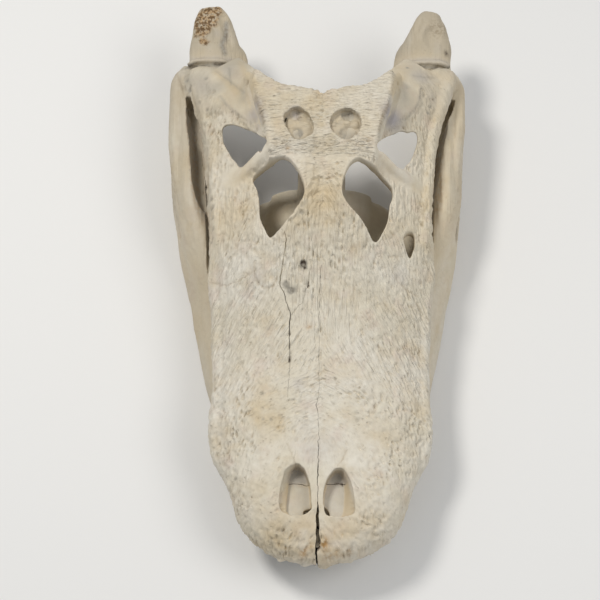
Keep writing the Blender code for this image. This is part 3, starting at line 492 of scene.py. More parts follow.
rightOrbit = (
    (-62, 334), (-56, 339), (-50, 340.5), (-44, 341), (-35, 341), (-29, 338), (-24, 332), (-19, 323),
    (-16, 313), (-18, 304), (-24, 296), (-33, 286), (-40, 280), (-46, 277), (-50, 284), (-55, 296),
    (-56, 310), (-58, 322))
leftOrbit = (
    (30, 339), (38, 338), (47, 336.5), (54, 333), (62, 327), (62, 316), (60, 310), (58, 295), (53, 283),
    (48, 275), (44, 276), (39, 284), (32, 292), (24, 299), (18, 307), (17, 315), (20, 326), (24, 334))
rightTemporal = (
    (-91, 390), (-88, 392.5), (-81, 391), (-74, 387), (-69, 383), (-63, 378), (-57, 370), (-51, 360),
    (-50, 356), (-54, 355), (-59, 353), (-65, 352), (-73, 349), (-77, 354), (-82, 361), (-85, 367),
    (-89, 375), (-90.5, 382))
rightTemporalHeights = (
    106, 108, 113, 116.5, 119.5, 125, 133, 144, 145, 134, 126, 118, 113, 111.5, 110.5, 109.5, 107.5, 107.5)
leftTemporal = (
    (48.5, 356), (53.5, 362), (58.5, 371), (64, 377.5), (71, 384), (77, 384.5), (82, 387), (85.5, 387),
    (87, 382), (85.5, 375), (83, 367), (80, 359), (75.5, 353), (71, 346), (67.5, 344.5), (63, 346),
    (58.5, 348), (54, 350.5), (48.5, 350))
leftTemporalHeights = (
    146, 142, 131, 123, 117, 113, 110.5, 107.5, 107.5, 107.5, 108.5, 109, 111.5, 112.5, 114.5, 118, 123.5,
    131, 146)
rightTablePit = (
    (-34.7, 379), (-28.7, 386), (-22.7, 388), (-14.7, 384), (-9.7, 376), (-8.7, 367), (-12.7, 360),
    (-22.9, 356), (-28.9, 362), (-33.6, 371))
leftTablePit = (
    (7, 379), (14, 385.5), (21, 387), (29, 384), (33.4, 376), (33, 368), (28, 360), (20.5, 356),
    (12.5, 361), (7, 369))
# rims of the nostrils, then where their walls stand further down, point for point
rightNaris = (
    (-20.4, 79.5, 84), (-16.1, 76.8, 84), (-13.5, 74.2, 84), (-10.9, 67.1, 84), (-9.2, 61.6, 82),
    (-8.3, 52.8, 82), (-8.2, 46.4, 80), (-7.4, 42.6, 80), (-9.5, 39.4, 78), (-14.1, 36.4, 78),
    (-20, 35.6, 78), (-26.8, 36.2, 79), (-33.6, 39.6, 79), (-35.2, 44, 79.5), (-35.4, 49.5, 80),
    (-34.6, 57, 81), (-32.6, 65.8, 83), (-29.8, 74.6, 84))
rightNarisFoot = [point[:2] for point in rightNaris[:10]] + [
    (-20, 35.8), (-24.8, 37), (-28.4, 40.6), (-28.8, 44.5), (-28.5, 50), (-27.9, 56.5), (-27, 65.4),
    (-25, 74.6)]
leftNaris = (
    (13.7, 75.8, 84), (11.2, 74.6, 84), (7.8, 70.8, 84), (5.2, 66.4, 84), (4, 63, 82), (3, 59.4, 82),
    (2.3, 55, 82), (2.2, 48, 80), (2.8, 43, 80), (3.7, 38.3, 78), (6, 35.9, 78), (10.4, 35.2, 78),
    (17.2, 34.9, 78), (22.3, 35.6, 78), (27.2, 37.2, 78.5), (29, 41, 79), (28.2, 49.6, 79.5),
    (26.5, 60.4, 81), (23.1, 69, 84), (18.8, 75, 84))
leftNarisFoot = [point[:2] for point in leftNaris[:10]] + [
    (6, 36), (10.4, 35.6), (15, 35.8), (18, 37), (19.6, 39.2), (20, 42.4), (20.8, 49), (20.9, 59.4),
    (20, 68.2), (17.2, 75)]
cheekHole = ((73, 285), (77, 291), (82, 291), (83, 282), (81, 274), (78, 268), (75, 275))
palateWindow = (
    (30, 212), (44, 216), (56, 233), (63, 254), (67, 275), (62, 288), (45, 293), (32, 290), (28, 275),
    (27, 248), (26, 226))
frontPalateHole = (
    (-14.5, 36), (-14.3, 41.8), (-12.2, 43.2), (-8.5, 44), (-3, 46), (3, 45.5), (5.6, 43.4), (7.3, 40.3),
    (7, 36), (0, 32), (-8, 33))
nostrilRims = [[point[:2] for point in rim] for rim in (rightNaris, leftNaris)]
openOutlines = (rightOrbit, leftOrbit, rightTemporal, leftTemporal, *nostrilRims, cheekHole)


# Teeth

toothLook = {
    "around": 22,             # points round a crown
    "rows": 18,               # rings from root to tip
    "widthToCrown": 0.55,
    "rootShare": 0.75,
    "tipBend": 0.14,
    "keel": 0.07,             # how far the two side keels stand out
    "socketRoom": 0.45,       # millimetres left round a root
    "upperCrowns": (10, 12, 13, 16, 12, 9, 11, 15, 19, 15, 11, 10, 11, 13, 13, 11, 10, 9, 8, 7),
    "upperPlaces": (9, 27, 44, 62, 81, 104, 119, 135, 153, 172, 190, 206, 222, 239, 256,
                    272, 287, 301, 314, 326),
    "lowerCrowns": (14, 10, 9, 17, 9, 8, 8, 8, 8, 9, 10, 11, 12, 11, 10, 9, 7, 6, 5, 4),
    "lowerPlaces": (2, 15, 28, 44, 60, 74, 88, 102, 116, 130, 144, 158, 172, 186, 200,
                    213, 226, 238, 249, 259),
    "lowerSeparate": (1, 2, 4, 11, 12, 13, 14, 15),
    "rimInset": 8.0,
    "rimEnd": 302.0,
    "lowerSink": 2.0,
    "lowerInset": 2.5,
    "shelfHeight": 54.5,
    "sharpAngle": 60,
    # a socket's collar: wider than the tooth, above its neck, half its height; points and rings
    "upperCollar": (2.6, 2.2, 3.4, 18, 10),
    "lowerCollar": (2.0, -1.5, 2.8, 16, 8),
}
jawLine = (
    (-6, 28), (22, 32), (41, 47), (55, 70), (65, 98), (74, 132), (83, 175), (91, 220), (99, 255),
    (108, 285), (115, 315), (120, 350), (121.5, 400), (121.5, 440), (117, 462))
jawMiddles = (25, 25, 23, 19.5, 18.7, 20.2, 22.5, 24.5, 27.5, 31.5, 35, 37.5, 38.8, 53, 62)
jawHalfWidths = (12, 12, 12, 12, 12, 12, 12, 12.5, 14, 16, 16, 17, 18, 18, 15)
jawHalfHeights = (12, 13, 17, 20.5, 22, 23, 27, 29, 29.5, 32, 36.5, 40, 40, 29, 18)
jawLeans = (0, 5, 10, 16, 22, 30, 40, 42, 32, 18, 8, 0, 0, 0, 0)


# the lower jaw lies a little to the right behind: -3 mm at s 400, in step with s from 60
def jawSwing(s):
    return -3.0 * np.clip((np.asarray(s, float) - 60) / 340, 0, 1.2)


# middle line of the upper rim: a quarter ellipse round the snout, then the outline, both moved inward
def rimPath():
    turn = np.linspace(0, pi / 2, 40)
    front = np.stack([frontHalfWidth * np.sin(turn), frontCorner * (1 - np.cos(turn))], -1)
    backS = np.linspace(frontCorner + 4, toothLook["rimEnd"], 60)
    edge = np.concatenate([front, np.stack([softLine(backS, craniumStations, craniumHalfWidths), backS], -1)])
    way = unitWay(edge)
    line = edge + toothLook["rimInset"] * np.stack([-way[:, 1], way[:, 0]], -1)
    return line, lengthAlong(line)


# points at distances along a path, and the direction to its right there
def along(path, run, distance):
    point = np.stack([np.interp(distance, run, path[:, k]) for k in range(2)], -1)
    way = np.stack([np.interp(distance, run, np.gradient(path[:, k], run)) for k in range(2)], -1)
    way /= np.linalg.norm(way, axis=-1, keepdims=True)
    return point, np.stack([way[..., 1], -way[..., 0]], -1)


# top line of the lower jaw: the highest point of each leant ellipse, held under the cheek
def jawCrest():
    own = np.arange(len(jawLine))
    at = np.linspace(1.0, 9.0, 200)
    line, middle, high, wide, lean = (softLine(at, own, values) for values in
                                      (jawLine, jawMiddles, jawHalfHeights, jawHalfWidths, jawLeans))
    lean = np.radians(lean)
    rise = np.sqrt((high * np.cos(lean)) ** 2 + (wide * np.sin(lean)) ** 2)
    shift = (high**2 - wide**2) * np.sin(lean) * np.cos(lean) / rise
    way = unitWay(line)
    crest = line - np.stack([way[:, 1], -way[:, 0]], -1) * shift[:, None]
    return crest, lengthAlong(crest), np.minimum(middle + rise, toothLook["shelfHeight"])


# side, number, neck, crown length and outward direction of each upper tooth, along the rim
def upperTeeth():
    line, run = rimPath()
    found = []
    for number, (crown, distance) in enumerate(zip(toothLook["upperCrowns"], toothLook["upperPlaces"]), 1):
        point, out = along(line, run, distance)
        margin = float(softLine(point[1], palateStations, marginHeights))
        for side, sign in sides:
            found.append((side, number, (point[0] * sign, point[1], margin), crown, (out[0] * sign, out[1])))
    return found


# the same of each lower tooth, along the jaw's top line and a little inside it
def lowerTeeth():
    crest, run, heights = jawCrest()
    found = []
    for number, (crown, distance) in enumerate(zip(toothLook["lowerCrowns"], toothLook["lowerPlaces"]), 1):
        point, out = along(crest, run, distance)
        height = float(np.interp(distance, run, heights)) - toothLook["lowerSink"]
        point = point - out * toothLook["lowerInset"]
        for side, sign in sides:
            neck = (point[0] * sign + float(jawSwing(point[1])), point[1], height)
            found.append((side, number, neck, crown, (out[0] * sign, out[1])))
    return found


# a tooth: rings of radius w (1 - h^1.9)^0.8 with two side keels, bending inward as h^1.6 towards the tip
def toothRings(neck, crown, out, direction, grow=0.0, salt=0):
    rows, around = toothLook["rows"], toothLook["around"]
    h = np.concatenate([np.linspace(-toothLook["rootShare"], 0, 5)[:-1],
                        1 - (1 - np.linspace(0, 1, rows - 4)) ** 1.3])
    body = np.where(h > 0, np.clip(1 - np.clip(h, 0, 1) ** 1.9, 0, 1) ** 0.8, 1 + 0.3 * h)
    body = np.maximum(body * (1 + 0.05 * bell(h - 0.12, 0.12)), 0.05 if grow == 0 else 0.2)
    radius = crown * toothLook["widthToCrown"] / 2 * body + grow
    turn = np.linspace(0, 2 * pi, around, endpoint=False)
    out = np.array([out[0], out[1], 0.0])
    over = np.array([-out[1], out[0], 0.0])
    keel = 1 + toothLook["keel"] * np.abs(np.sin(turn)) ** 10 * (grow == 0)
    flute = 1 + 0.015 * np.cos(9 * turn + salt) * ramp(h, 0.02, 0.2)[:, None] * (grow == 0)
    flat = np.where(np.cos(turn) < 0, 0.86, 0.96)
    ring = ((np.cos(turn) * flat)[:, None] * out + (np.sin(turn) * keel)[:, None] * over)
    bend = toothLook["tipBend"] * np.clip(h, 0, 1) ** 1.6 * crown
    rise = h * (crown + 2 * grow) - grow * (h < 0)
    centre = np.array(neck) + np.outer(rise * direction, (0, 0, 1)) - bend[:, None] * out
    return centre[:, None] + (radius[:, None] * flute)[..., None] * ring[None]


# room for a tooth: the same rings, grown by the socket's gap
def toothRoom(tooth, direction):
    side, number, neck, crown, out = tooth
    return tube(toothRings(neck, crown, out, direction, toothLook["socketRoom"]))


# low collar of bone round a tooth's socket: a flat ball
def collar(tooth, measures):
    side, number, neck, crown, out = tooth
    wider, lift, high, around, rows = measures
    r = crown * toothLook["widthToCrown"] / 2 + wider
    return ball((neck[0], neck[1], neck[2] + lift), (r, r, high), around, rows)


# Roof of the cranium

# rows of the roof: x spreads by share of the half widths, s bows round the snout as 1 - cos
def roofGrid():
    labels = np.concatenate([[0, 0.7, 1.5, 2.4, 3.4, 4.6, 6], np.arange(7.5, 345, 1.7),
                             np.arange(345, 405.1, 1.25)])
    shares = np.concatenate([np.linspace(0, 0.46, 30), np.linspace(0.47, 0.57, 12),
                             np.linspace(0.585, 1, 30)])
    shares = np.concatenate([-shares[:0:-1], shares])
    row, q = np.meshgrid(labels, shares, indexing="ij")
    size = np.abs(q)
    heights = softLine(labels, list(roofRows), [roofRows[k] for k in roofRows])
    z = np.stack([softLine(np.abs(shares), roofShares, line) for line in heights])
    front = np.clip(row / frontRowsEnd, 0, 1)
    edge = frontCorner + (frontRowsEnd - frontCorner) * front
    sFront = frontRowsEnd * front + (edge - frontRowsEnd * front) * (1 - np.cos(size * pi / 2))
    back = np.clip((row - tableStart) / (tableLabelEnd - tableStart), 0, 1)
    sBack = tableStart + (softLine(size, backShares, backEnds) - tableStart) * back
    s = np.where(row < frontRowsEnd, sFront, np.where(row <= tableStart, row, sBack))
    widthAt = np.where(row < frontRowsEnd, edge, s)
    outer = softLine(widthAt, craniumStations, craniumHalfWidths)
    inner = softLine(widthAt, tableStations, tableHalfWidths)
    straight = np.where(size < 0.5, inner * size * 2, inner + (outer - inner) * (size - 0.5) * 2)
    x = np.where(row < frontRowsEnd, outer * np.sin(size * pi / 2) * (1 - front) + straight * front, straight)
    lean = -1.9 * ramp(s, 250, 330) * ramp(size, 0.5, 0.9)
    return np.stack([np.sign(q) * x + lean, s, z], -1), size


# lower face of the roof: a vaulted palate in front, a sheet along the normals behind
def palateUnder(top, size):
    nearest = np.minimum(edgeDistance(top[..., 0].ravel(), top[..., 1].ravel(), rightTemporal),
                         edgeDistance(top[..., 0].ravel(), top[..., 1].ravel(), leftTemporal))
    sheet = boneSheet * (0.5 + 0.5 * ramp(nearest, 0, 14)).reshape(size.shape + (1,))
    x, s, z = top[..., 0], top[..., 1], top[..., 2]
    margin = softLine(s, palateStations, marginHeights)
    palate = np.minimum(margin + (palateHeight - margin) * np.clip(1 - size**6, 0, 1), z - 2)
    normal = np.cross(np.gradient(top, axis=0), np.gradient(top, axis=1))
    normal /= np.linalg.norm(normal, axis=-1)[..., None]
    normal *= np.sign(normal[..., 2:3])
    back = np.clip((s - palateEnd) / palateFade, 0, 1)[..., None]
    return np.stack([x, s, palate], -1) * (1 - back) + (top - normal * sheet) * back


# broad swells of the roof: bells of the distance from each rim, and boss by boss
def roofSwell(x, s):
    x, s = x.ravel(), s.ravel()
    rise = np.zeros(x.shape)
    for outline, sign in ((rightOrbit, -1), (leftOrbit, 1)):
        d = edgeDistance(x, s, outline)
        inner = ramp(-(x * sign), -46, -34) + 0.5 * ramp(-s, -300, -282)
        rise += 0.9 * bell(d - 2.0, 4.0) * np.clip(inner, 0, 1)
    for outline, sign in zip(nostrilRims, (-1, 1)):
        d = edgeDistance(x, s, outline)
        outside = ramp(x * sign, 16, 26)
        rise += 1.2 * bell(d - 6, 4) * outside - 0.8 * (1 - ramp(d, 0, 5)) * outside
        rise += 0.8 * bell(d - 2, 3) * (1 - outside) * ramp(s, 30, 50)
    for outline in (rightTablePit, leftTablePit):
        d = edgeDistance(x, s, outline)
        rise += 0.9 * bell(d - 2, 3.0) - 1.0 * (1 - ramp(d, -1, 1.2))
    half = softLine(s, tableStations, tableHalfWidths)
    onTable = ramp(s, 338, 352)
    rise += 1.2 * bell(np.abs(x) - half + 2.5, 2.6) * onTable
    rise -= 0.8 * bell(x, 9) * ramp(s, 352, 362) * (1 - ramp(s, 386, 396))
    # knees of the snout over the large teeth, and the ridge in front of each orbit
    rise += 1.8 * bell(np.abs(x) - 58, 15) * bell(s - 66, 20)
    rise += 2.2 * bell(np.abs(x) - 62, 17) * bell(s - 138, 26)
    ridge = lineDistance(np.abs(x), s, ((30, 292), (33, 262), (40, 228), (47, 190)), 16)
    rise += 1.8 * bell(ridge, 6.5) * ramp(s, 185, 215)
    return rise


# the raster of the roof's heights: cells of one millimetre, from its first x and s
rasterStart, rasterSize, rasterSpread = (-160, -40), (320, 560), 14


# column and row of the cell nearest to each point, held inside the raster
def rasterCell(x, s):
    return [np.clip(np.round(v - start).astype(int), 0, size - 1)
            for v, start, size in zip((x, s), rasterStart, rasterSize)]


# height of the uncut roof in each cell, spread to its neighbours
def roofRaster(top):
    raster = np.full(rasterSize, -1.0)
    i, j = rasterCell(top[..., 0].ravel(), top[..., 1].ravel())
    np.maximum.at(raster, (i, j), top[..., 2].ravel())
    for _ in range(rasterSpread):
        spread = raster.copy()
        for di, dj in ((1, 0), (-1, 0), (0, 1), (0, -1)):
            near = np.roll(raster, (di, dj), (0, 1))
            spread = np.where(raster < 0, np.maximum(spread, near), spread)
        raster = spread
    return raster


# height of the raster's cell nearest to each point
def roofAt(raster, x, s):
    i, j = rasterCell(x, s)
    return raster[i, j]


# Relief of old crocodile bone: pits in streaks that fan out from the middle

reliefLook = {
    "stations": (0, 40, 80, 125, 170, 215, 255, 300, 340, 375, 405, 425, 470),
    "innerDepth": (0.7, 0.6, 0.4, 1.1, 0.95, 0.45, 0.75, 0.9, 1.0, 1.1, 1.1, 0.8, 0.3),
    "outerDepth": (1.1, 1.1, 1.1, 1.3, 1.0, 0.75, 0.8, 1.1, 1.1, 1.1, 1.0, 0.8, 0.4),
    "grooves": (0.25, 0.25, 0.25, 0.5, 0.8, 0.95, 0.95, 0.8, 0.6, 0.6, 0.5, 0.35, 0.2),
    "innerAngle": (60, 75, 85, 25, 50, 90, 90, 80, 0, 0, 10, 20, 40),
    "outerAngle": (45, 45, 48, 50, 55, 62, 72, 80, 84, 70, 52, 45, 45),
    # streak angle, then width and length of a pit in millimetres
    "layers": ((0.0, 3.2, 5.6), (30.0, 3.5, 6.5), (60.0, 3.6, 8.5), (90.0, 3.4, 8.0)),
    "edgeFade": 1.6,          # millimetres from an opening's edge to full relief
    "pitDepth": 2.15,
    "fineDepth": 0.6,
    "waveHeight": 0.6,
    "striaHeight": 0.4,
    "grooveHeight": 0.95,
    "rippleHeight": 1.0,
}

suturesMm = (
    ((-59.8, 253.7), (-66, 250), (-73.5, 246.7), (-85.1, 245.2), (-98, 251)), ((-59.8, 262), (-59.8, 249.4),
    (-56.3, 242.4), (-50.6, 236.8), (-43.8, 237.7), (-40.4, 241.3), (-38, 250)),
    ((58.9, 265.2), (63, 265.7), (71.7, 267.9)),
    ((62, 259), (63.4, 251.8), (67.4, 246.3), (74.4, 241.0), (86.3, 237.8)),
    ((-29.5, 97.1), (-24.9, 88.1), (-22.1, 79.1)), ((22, 91.5), (18.7, 84.8), (14.4, 77.5)))
eyeBarsMm = (((-52, 355), (-62, 349), (-74, 343), (-84, 340)), ((51, 350), (62, 342), (73, 340), (84, 338)))
# edges of the rough bone over the quadrates, then fine folds on the smooth bone
crestMm = (
    ((-93.9, 421.7), (-86.1, 408.6), (-78.5, 400.3), (-69.1, 389), (-60, 377)),
    ((90.6, 432.8), (89.3, 421.7), (87.3, 414), (84.4, 406.4), (76.7, 396.9), (66.1, 386.1)))
foldsMm = (
    ((-86.8, 457.5), (-85.3, 441.9), (-83.9, 432)),
    ((-99, 455.6), (-89.1, 443.4), (-79.2, 429), (-71.2, 415.4)), ((105, 452), (95, 449), (84, 448)))
fineCracksMm = (
    ((31, 272.0), (30.1, 263.3), (29.1, 253.3), (27.5, 237.6)),
    ((19.1, 234.1), (18.3, 222.7), (17.5, 209.5)), ((-31.9, 350.5), (-32.8, 344.9)))
# x, s, radius, depth, greyness of single holes and pits, the greyness painted as shade in them
pitsMm = (
    (-13.5, 251.4, 0.9, 0.8, 0.5), (-23.2, 233.2, 2.2, 1.0, 0.6), (-126.7, 453.1, 1.3, 1.0, 0.6),
    (-123.5, 442.8, 1.5, 1.3, 0.8), (-108.1, 448.6, 1.4, 0.9, 0.5), (-106.1, 413.4, 1.3, 0.9, 0.5),
    (-113.9, 422.8, 1.5, 0.8, 0.3), (97, 409.8, 1.3, 1.2, 0.7), (103.1, 425.1, 1.2, 0.9, 0.4),
    (-18.9, 52.7, 1.2, 1.0, 0.8), (8.9, 65.8, 1.2, 0.9, 0.8), (-100.5, 327.1, 1.6, 1.4, 0.7),
    (8.0, 257.0, 1.1, 0.8, 0.4), (-18.0, 298.3, 1.5, 1.4, 0.6), (-18.2, 293.2, 1.4, 1.8, 0.85),
    (-28.7, 287.4, 1.5, 0.9, 0.35), (-23.4, 281.1, 1.6, 0.9, 0.35), (-99.4, 317.9, 1.6, 1.5, 0.6),
    (-98.4, 308.0, 1.3, 1.2, 0.5), (-98.2, 297.9, 1.4, 1.2, 0.5), (-99.3, 290.5, 1.3, 1.2, 0.5),
    (-73.2, 69.5, 1.2, 1.5, 0.9), (-36.6, 22.8, 1.2, 1.0, 0.6), (-32.3, 23.3, 1.5, 1.0, 0.6),
    (-41.6, 17.7, 1.1, 0.9, 0.5), (73.7, 118.4, 1.0, 1.0, 0.5), (74.8, 112.4, 1.3, 1.1, 0.6),
    (77, 103.7, 1.0, 0.9, 0.4), (-51.4, 142.4, 1.7, 1.6, 0.7), (-69.7, 173.5, 1.4, 1.1, 0.5),
    (-73.6, 178.1, 1.3, 1.0, 0.45), (-18.1, 134.7, 1.5, 1.2, 0.5), (-90.8, 141.0, 1.5, 1.1, 0.5),
    (-89.7, 136.9, 1.3, 1.0, 0.5), (-86.8, 138.8, 1.2, 0.9, 0.4), (-49.8, 118.9, 1.2, 1.1, 0.55),
    (-43.1, 118.0, 1.3, 1.2, 0.6), (-54.1, 152.4, 1.2, 0.9, 0.4), (-46.2, 185.5, 1.2, 0.9, 0.4),
    (36.6, 144.6, 1.6, 1.3, 0.55), (12.2, 156.4, 1.3, 1.0, 0.45), (31.1, 118.0, 1.6, 1.3, 0.5),
    (10.6, 133.2, 1.3, 0.9, 0.4), (29.5, 124.0, 1.5, 1.0, 0.4), (28, 178.8, 1.1, 0.9, 0.4),
    (99.3, 416.3, 1.4, 1.2, 0.7), (16.4, 170.2, 1.2, 0.8, 0.35))
crackMm = (
    (-33.2, 279.0), (-31.7, 272.9), (-32.8, 263.2), (-34.4, 253.4), (-36.6, 243.1), (-37.1, 238.9),
    (-33.0, 231.0), (-30.2, 222.0), (-27.2, 212.3), (-27.6, 207.9), (-28.1, 194.5), (-27.6, 181.2),
    (-27.6, 163.1), (-28.6, 148.0), (-29.1, 136.3))
crackWidths = (0.35, 0.65, 0.85, 0.95, 1.0, 0.7, 0.5, 0.42, 0.6, 0.65, 0.5, 0.3, 0.18, 0.15, 0.1)
forkMm = (
    (-26.3, 212.6), (-24.6, 214.9), (-21.6, 219.3), (-17.2, 222.7), (-14.8, 231.1), (-12.1, 237.9),
    (-11.2, 242.0), (-10.8, 247.7), (-8.7, 255.0))
forkWidths = (0.4, 0.32, 0.26, 0.28, 0.26, 0.2, 0.16, 0.2, 0.16)
midlineMm = (
    (-0.9, 255.0), (-1.2, 249.2), (-1.5, 239.3), (-1.8, 234.4), (-1.4, 228.6), (-1.9, 223.4), (-2.2, 215.6),
    (-2.0, 186.4), (-2.0, 150.4), (-2.7, 138.6), (-4.2, 132.2), (-3.1, 128.6), (-2.2, 122.4), (-2.8, 118.7),
    (-1.7, 109.9), (-2.0, 105.4), (-1.3, 102.7), (-2.9, 100.4), (-2.1, 96.5), (-2.3, 87.6), (-2.2, 83.2),
    (-2.7, 80.6), (-2.7, 77.1), (-2.4, 70.1), (-2.7, 65.8), (-2.7, 57.3), (-2.3, 48.9), (-2.6, 43.5))
midlineWidths = (
    0.12, 0.14, 0.24, 0.22, 0.24, 0.24, 0.16, 0.12, 0.1, 0.12, 0.32, 0.28, 0.1, 0.16, 0.16, 0.18, 0.2, 0.24,
    0.3, 0.3, 0.32, 0.4, 0.62, 0.62, 0.36, 0.3, 0.3, 0.5)
gapMm = (
    (-2.7, 47.0), (-2.6, 43.5), (-2.6, 40.0), (-2.5, 32.1), (-2.3, 24.1), (-2.3, 17.8), (-2.7, 12.5),
    (-3.3, 9.6), (-3.9, 6.9), (-3.4, 4.6), (-2.4, 1.0), (-2.2, -4.0))
narisSutures = (
    ((-28.5, 65.3), (-21.1, 66), (-16, 65.3), (-13.4, 64.5), (-8, 64)),
    ((1.5, 65.4), (6.3, 66.2), (14.9, 66.3), (21.5, 66)))
holesMm = ((-16.3, 254.4, (3.3, 3.6, 5.0)), (-31.3, 238.2, (3.1, 2.7, 2.6)))
basinMm = (-27.2, 233.4, (4.0, 2.7, 2.4))
gapWidths = (0.3, 0.9, 1.5, 1.9, 2.0, 2.3, 2.2, 1.5, 1.3, 1.2, 1.4, 1.8)


# pits and grooves of one size in four directions, each weighted by how near the streak angle is to it
def pitField(x, s, across, angle, scale, salt, sharp=0.46):
    total, grooves = np.zeros(x.shape), np.zeros(x.shape)
    for k, (turned, wide, longer) in enumerate(reliefLook["layers"]):
        weight = np.clip(1 - np.abs(angle - turned) / 30.0, 0, 1)
        at = np.nonzero(weight > 0.01)[0]
        a = np.radians(turned)
        slanted = 0 < turned < 90
        c, b = across[at] if slanted else x[at], s[at]
        side = np.sign(x[at]) * slanted
        wobble = [1.5 * softNoise(x[at], b, 0 * c, 8.0, own + k + salt) for own in (31, 41)]
        u = c * np.cos(a) - b * np.sin(a) + wobble[0]
        v = c * np.sin(a) + b * np.cos(a) + wobble[1]
        pits = dents(u / (longer * scale), v / (wide * scale) + 50.0 * side, salt + k, sharp)
        total[at] += weight[at] * pits
        fold = v + 90.0 * side
        grooves[at] += weight[at] * (softNoise(u / 9, fold, 0 * c, 1.7 * scale + 0.2, salt + 60 + k)
                                     + 0.5 * softNoise(u / 7, fold, 0 * c, 1.0 * scale, salt + 70 + k))
    return total, grooves


# where the smooth quadrates begin: s at distances from the middle, right and left
quadrateFront = {
    -1: ((0, 57, 64.4, 75.5, 83.8, 93, 103.5, 109), (362, 373, 384, 397, 405, 418, 441, 458)),
    1: ((0, 55, 65.8, 74.2, 83.4, 87.7, 90.3, 92), (360, 372, 386.5, 397.3, 406, 417.4, 434.4, 450)),
}


# 1 on the smooth quadrates: behind their front line, and off the table
def quadrateShare(x, s):
    size = np.abs(x)
    begin = np.where(x < 0, *[np.interp(size, *quadrateFront[sign], right=999.0) for sign in (-1, 1)])
    return ramp(s - begin, -0.5, 2.5) * ramp(size - softLine(s, tableStations, tableHalfWidths), 0.5, 3.0)


# 1 on the smooth bars behind the eyes, fading between two distances from their middle lines
def barShare(x, s, near, far):
    return np.maximum(*[1 - ramp(lineDistance(x, s, line), near, far) for line in eyeBarsMm])


# how far each point is outside skin rather than the wall or floor of an opening
def skinShare(raster, points, normals):
    x, s, z = points.T
    below = roofAt(raster, x, s) - z
    halfWidth = softLine(s, craniumStations, craniumHalfWidths)
    topSide = (1 - ramp(below, 4, 9)) * ramp(normals[:, 2], -0.35, 0.05)
    flank = ramp(normals[:, 0] * np.sign(x), 0.25, 0.6) * ramp(np.abs(x), halfWidth - 9, halfWidth - 4)
    nose = ramp(-normals[:, 1], 0.2, 0.6) * (1 - ramp(s, 26, 40))
    return np.clip(np.maximum(np.maximum(topSide, flank), nose), 0, 1)
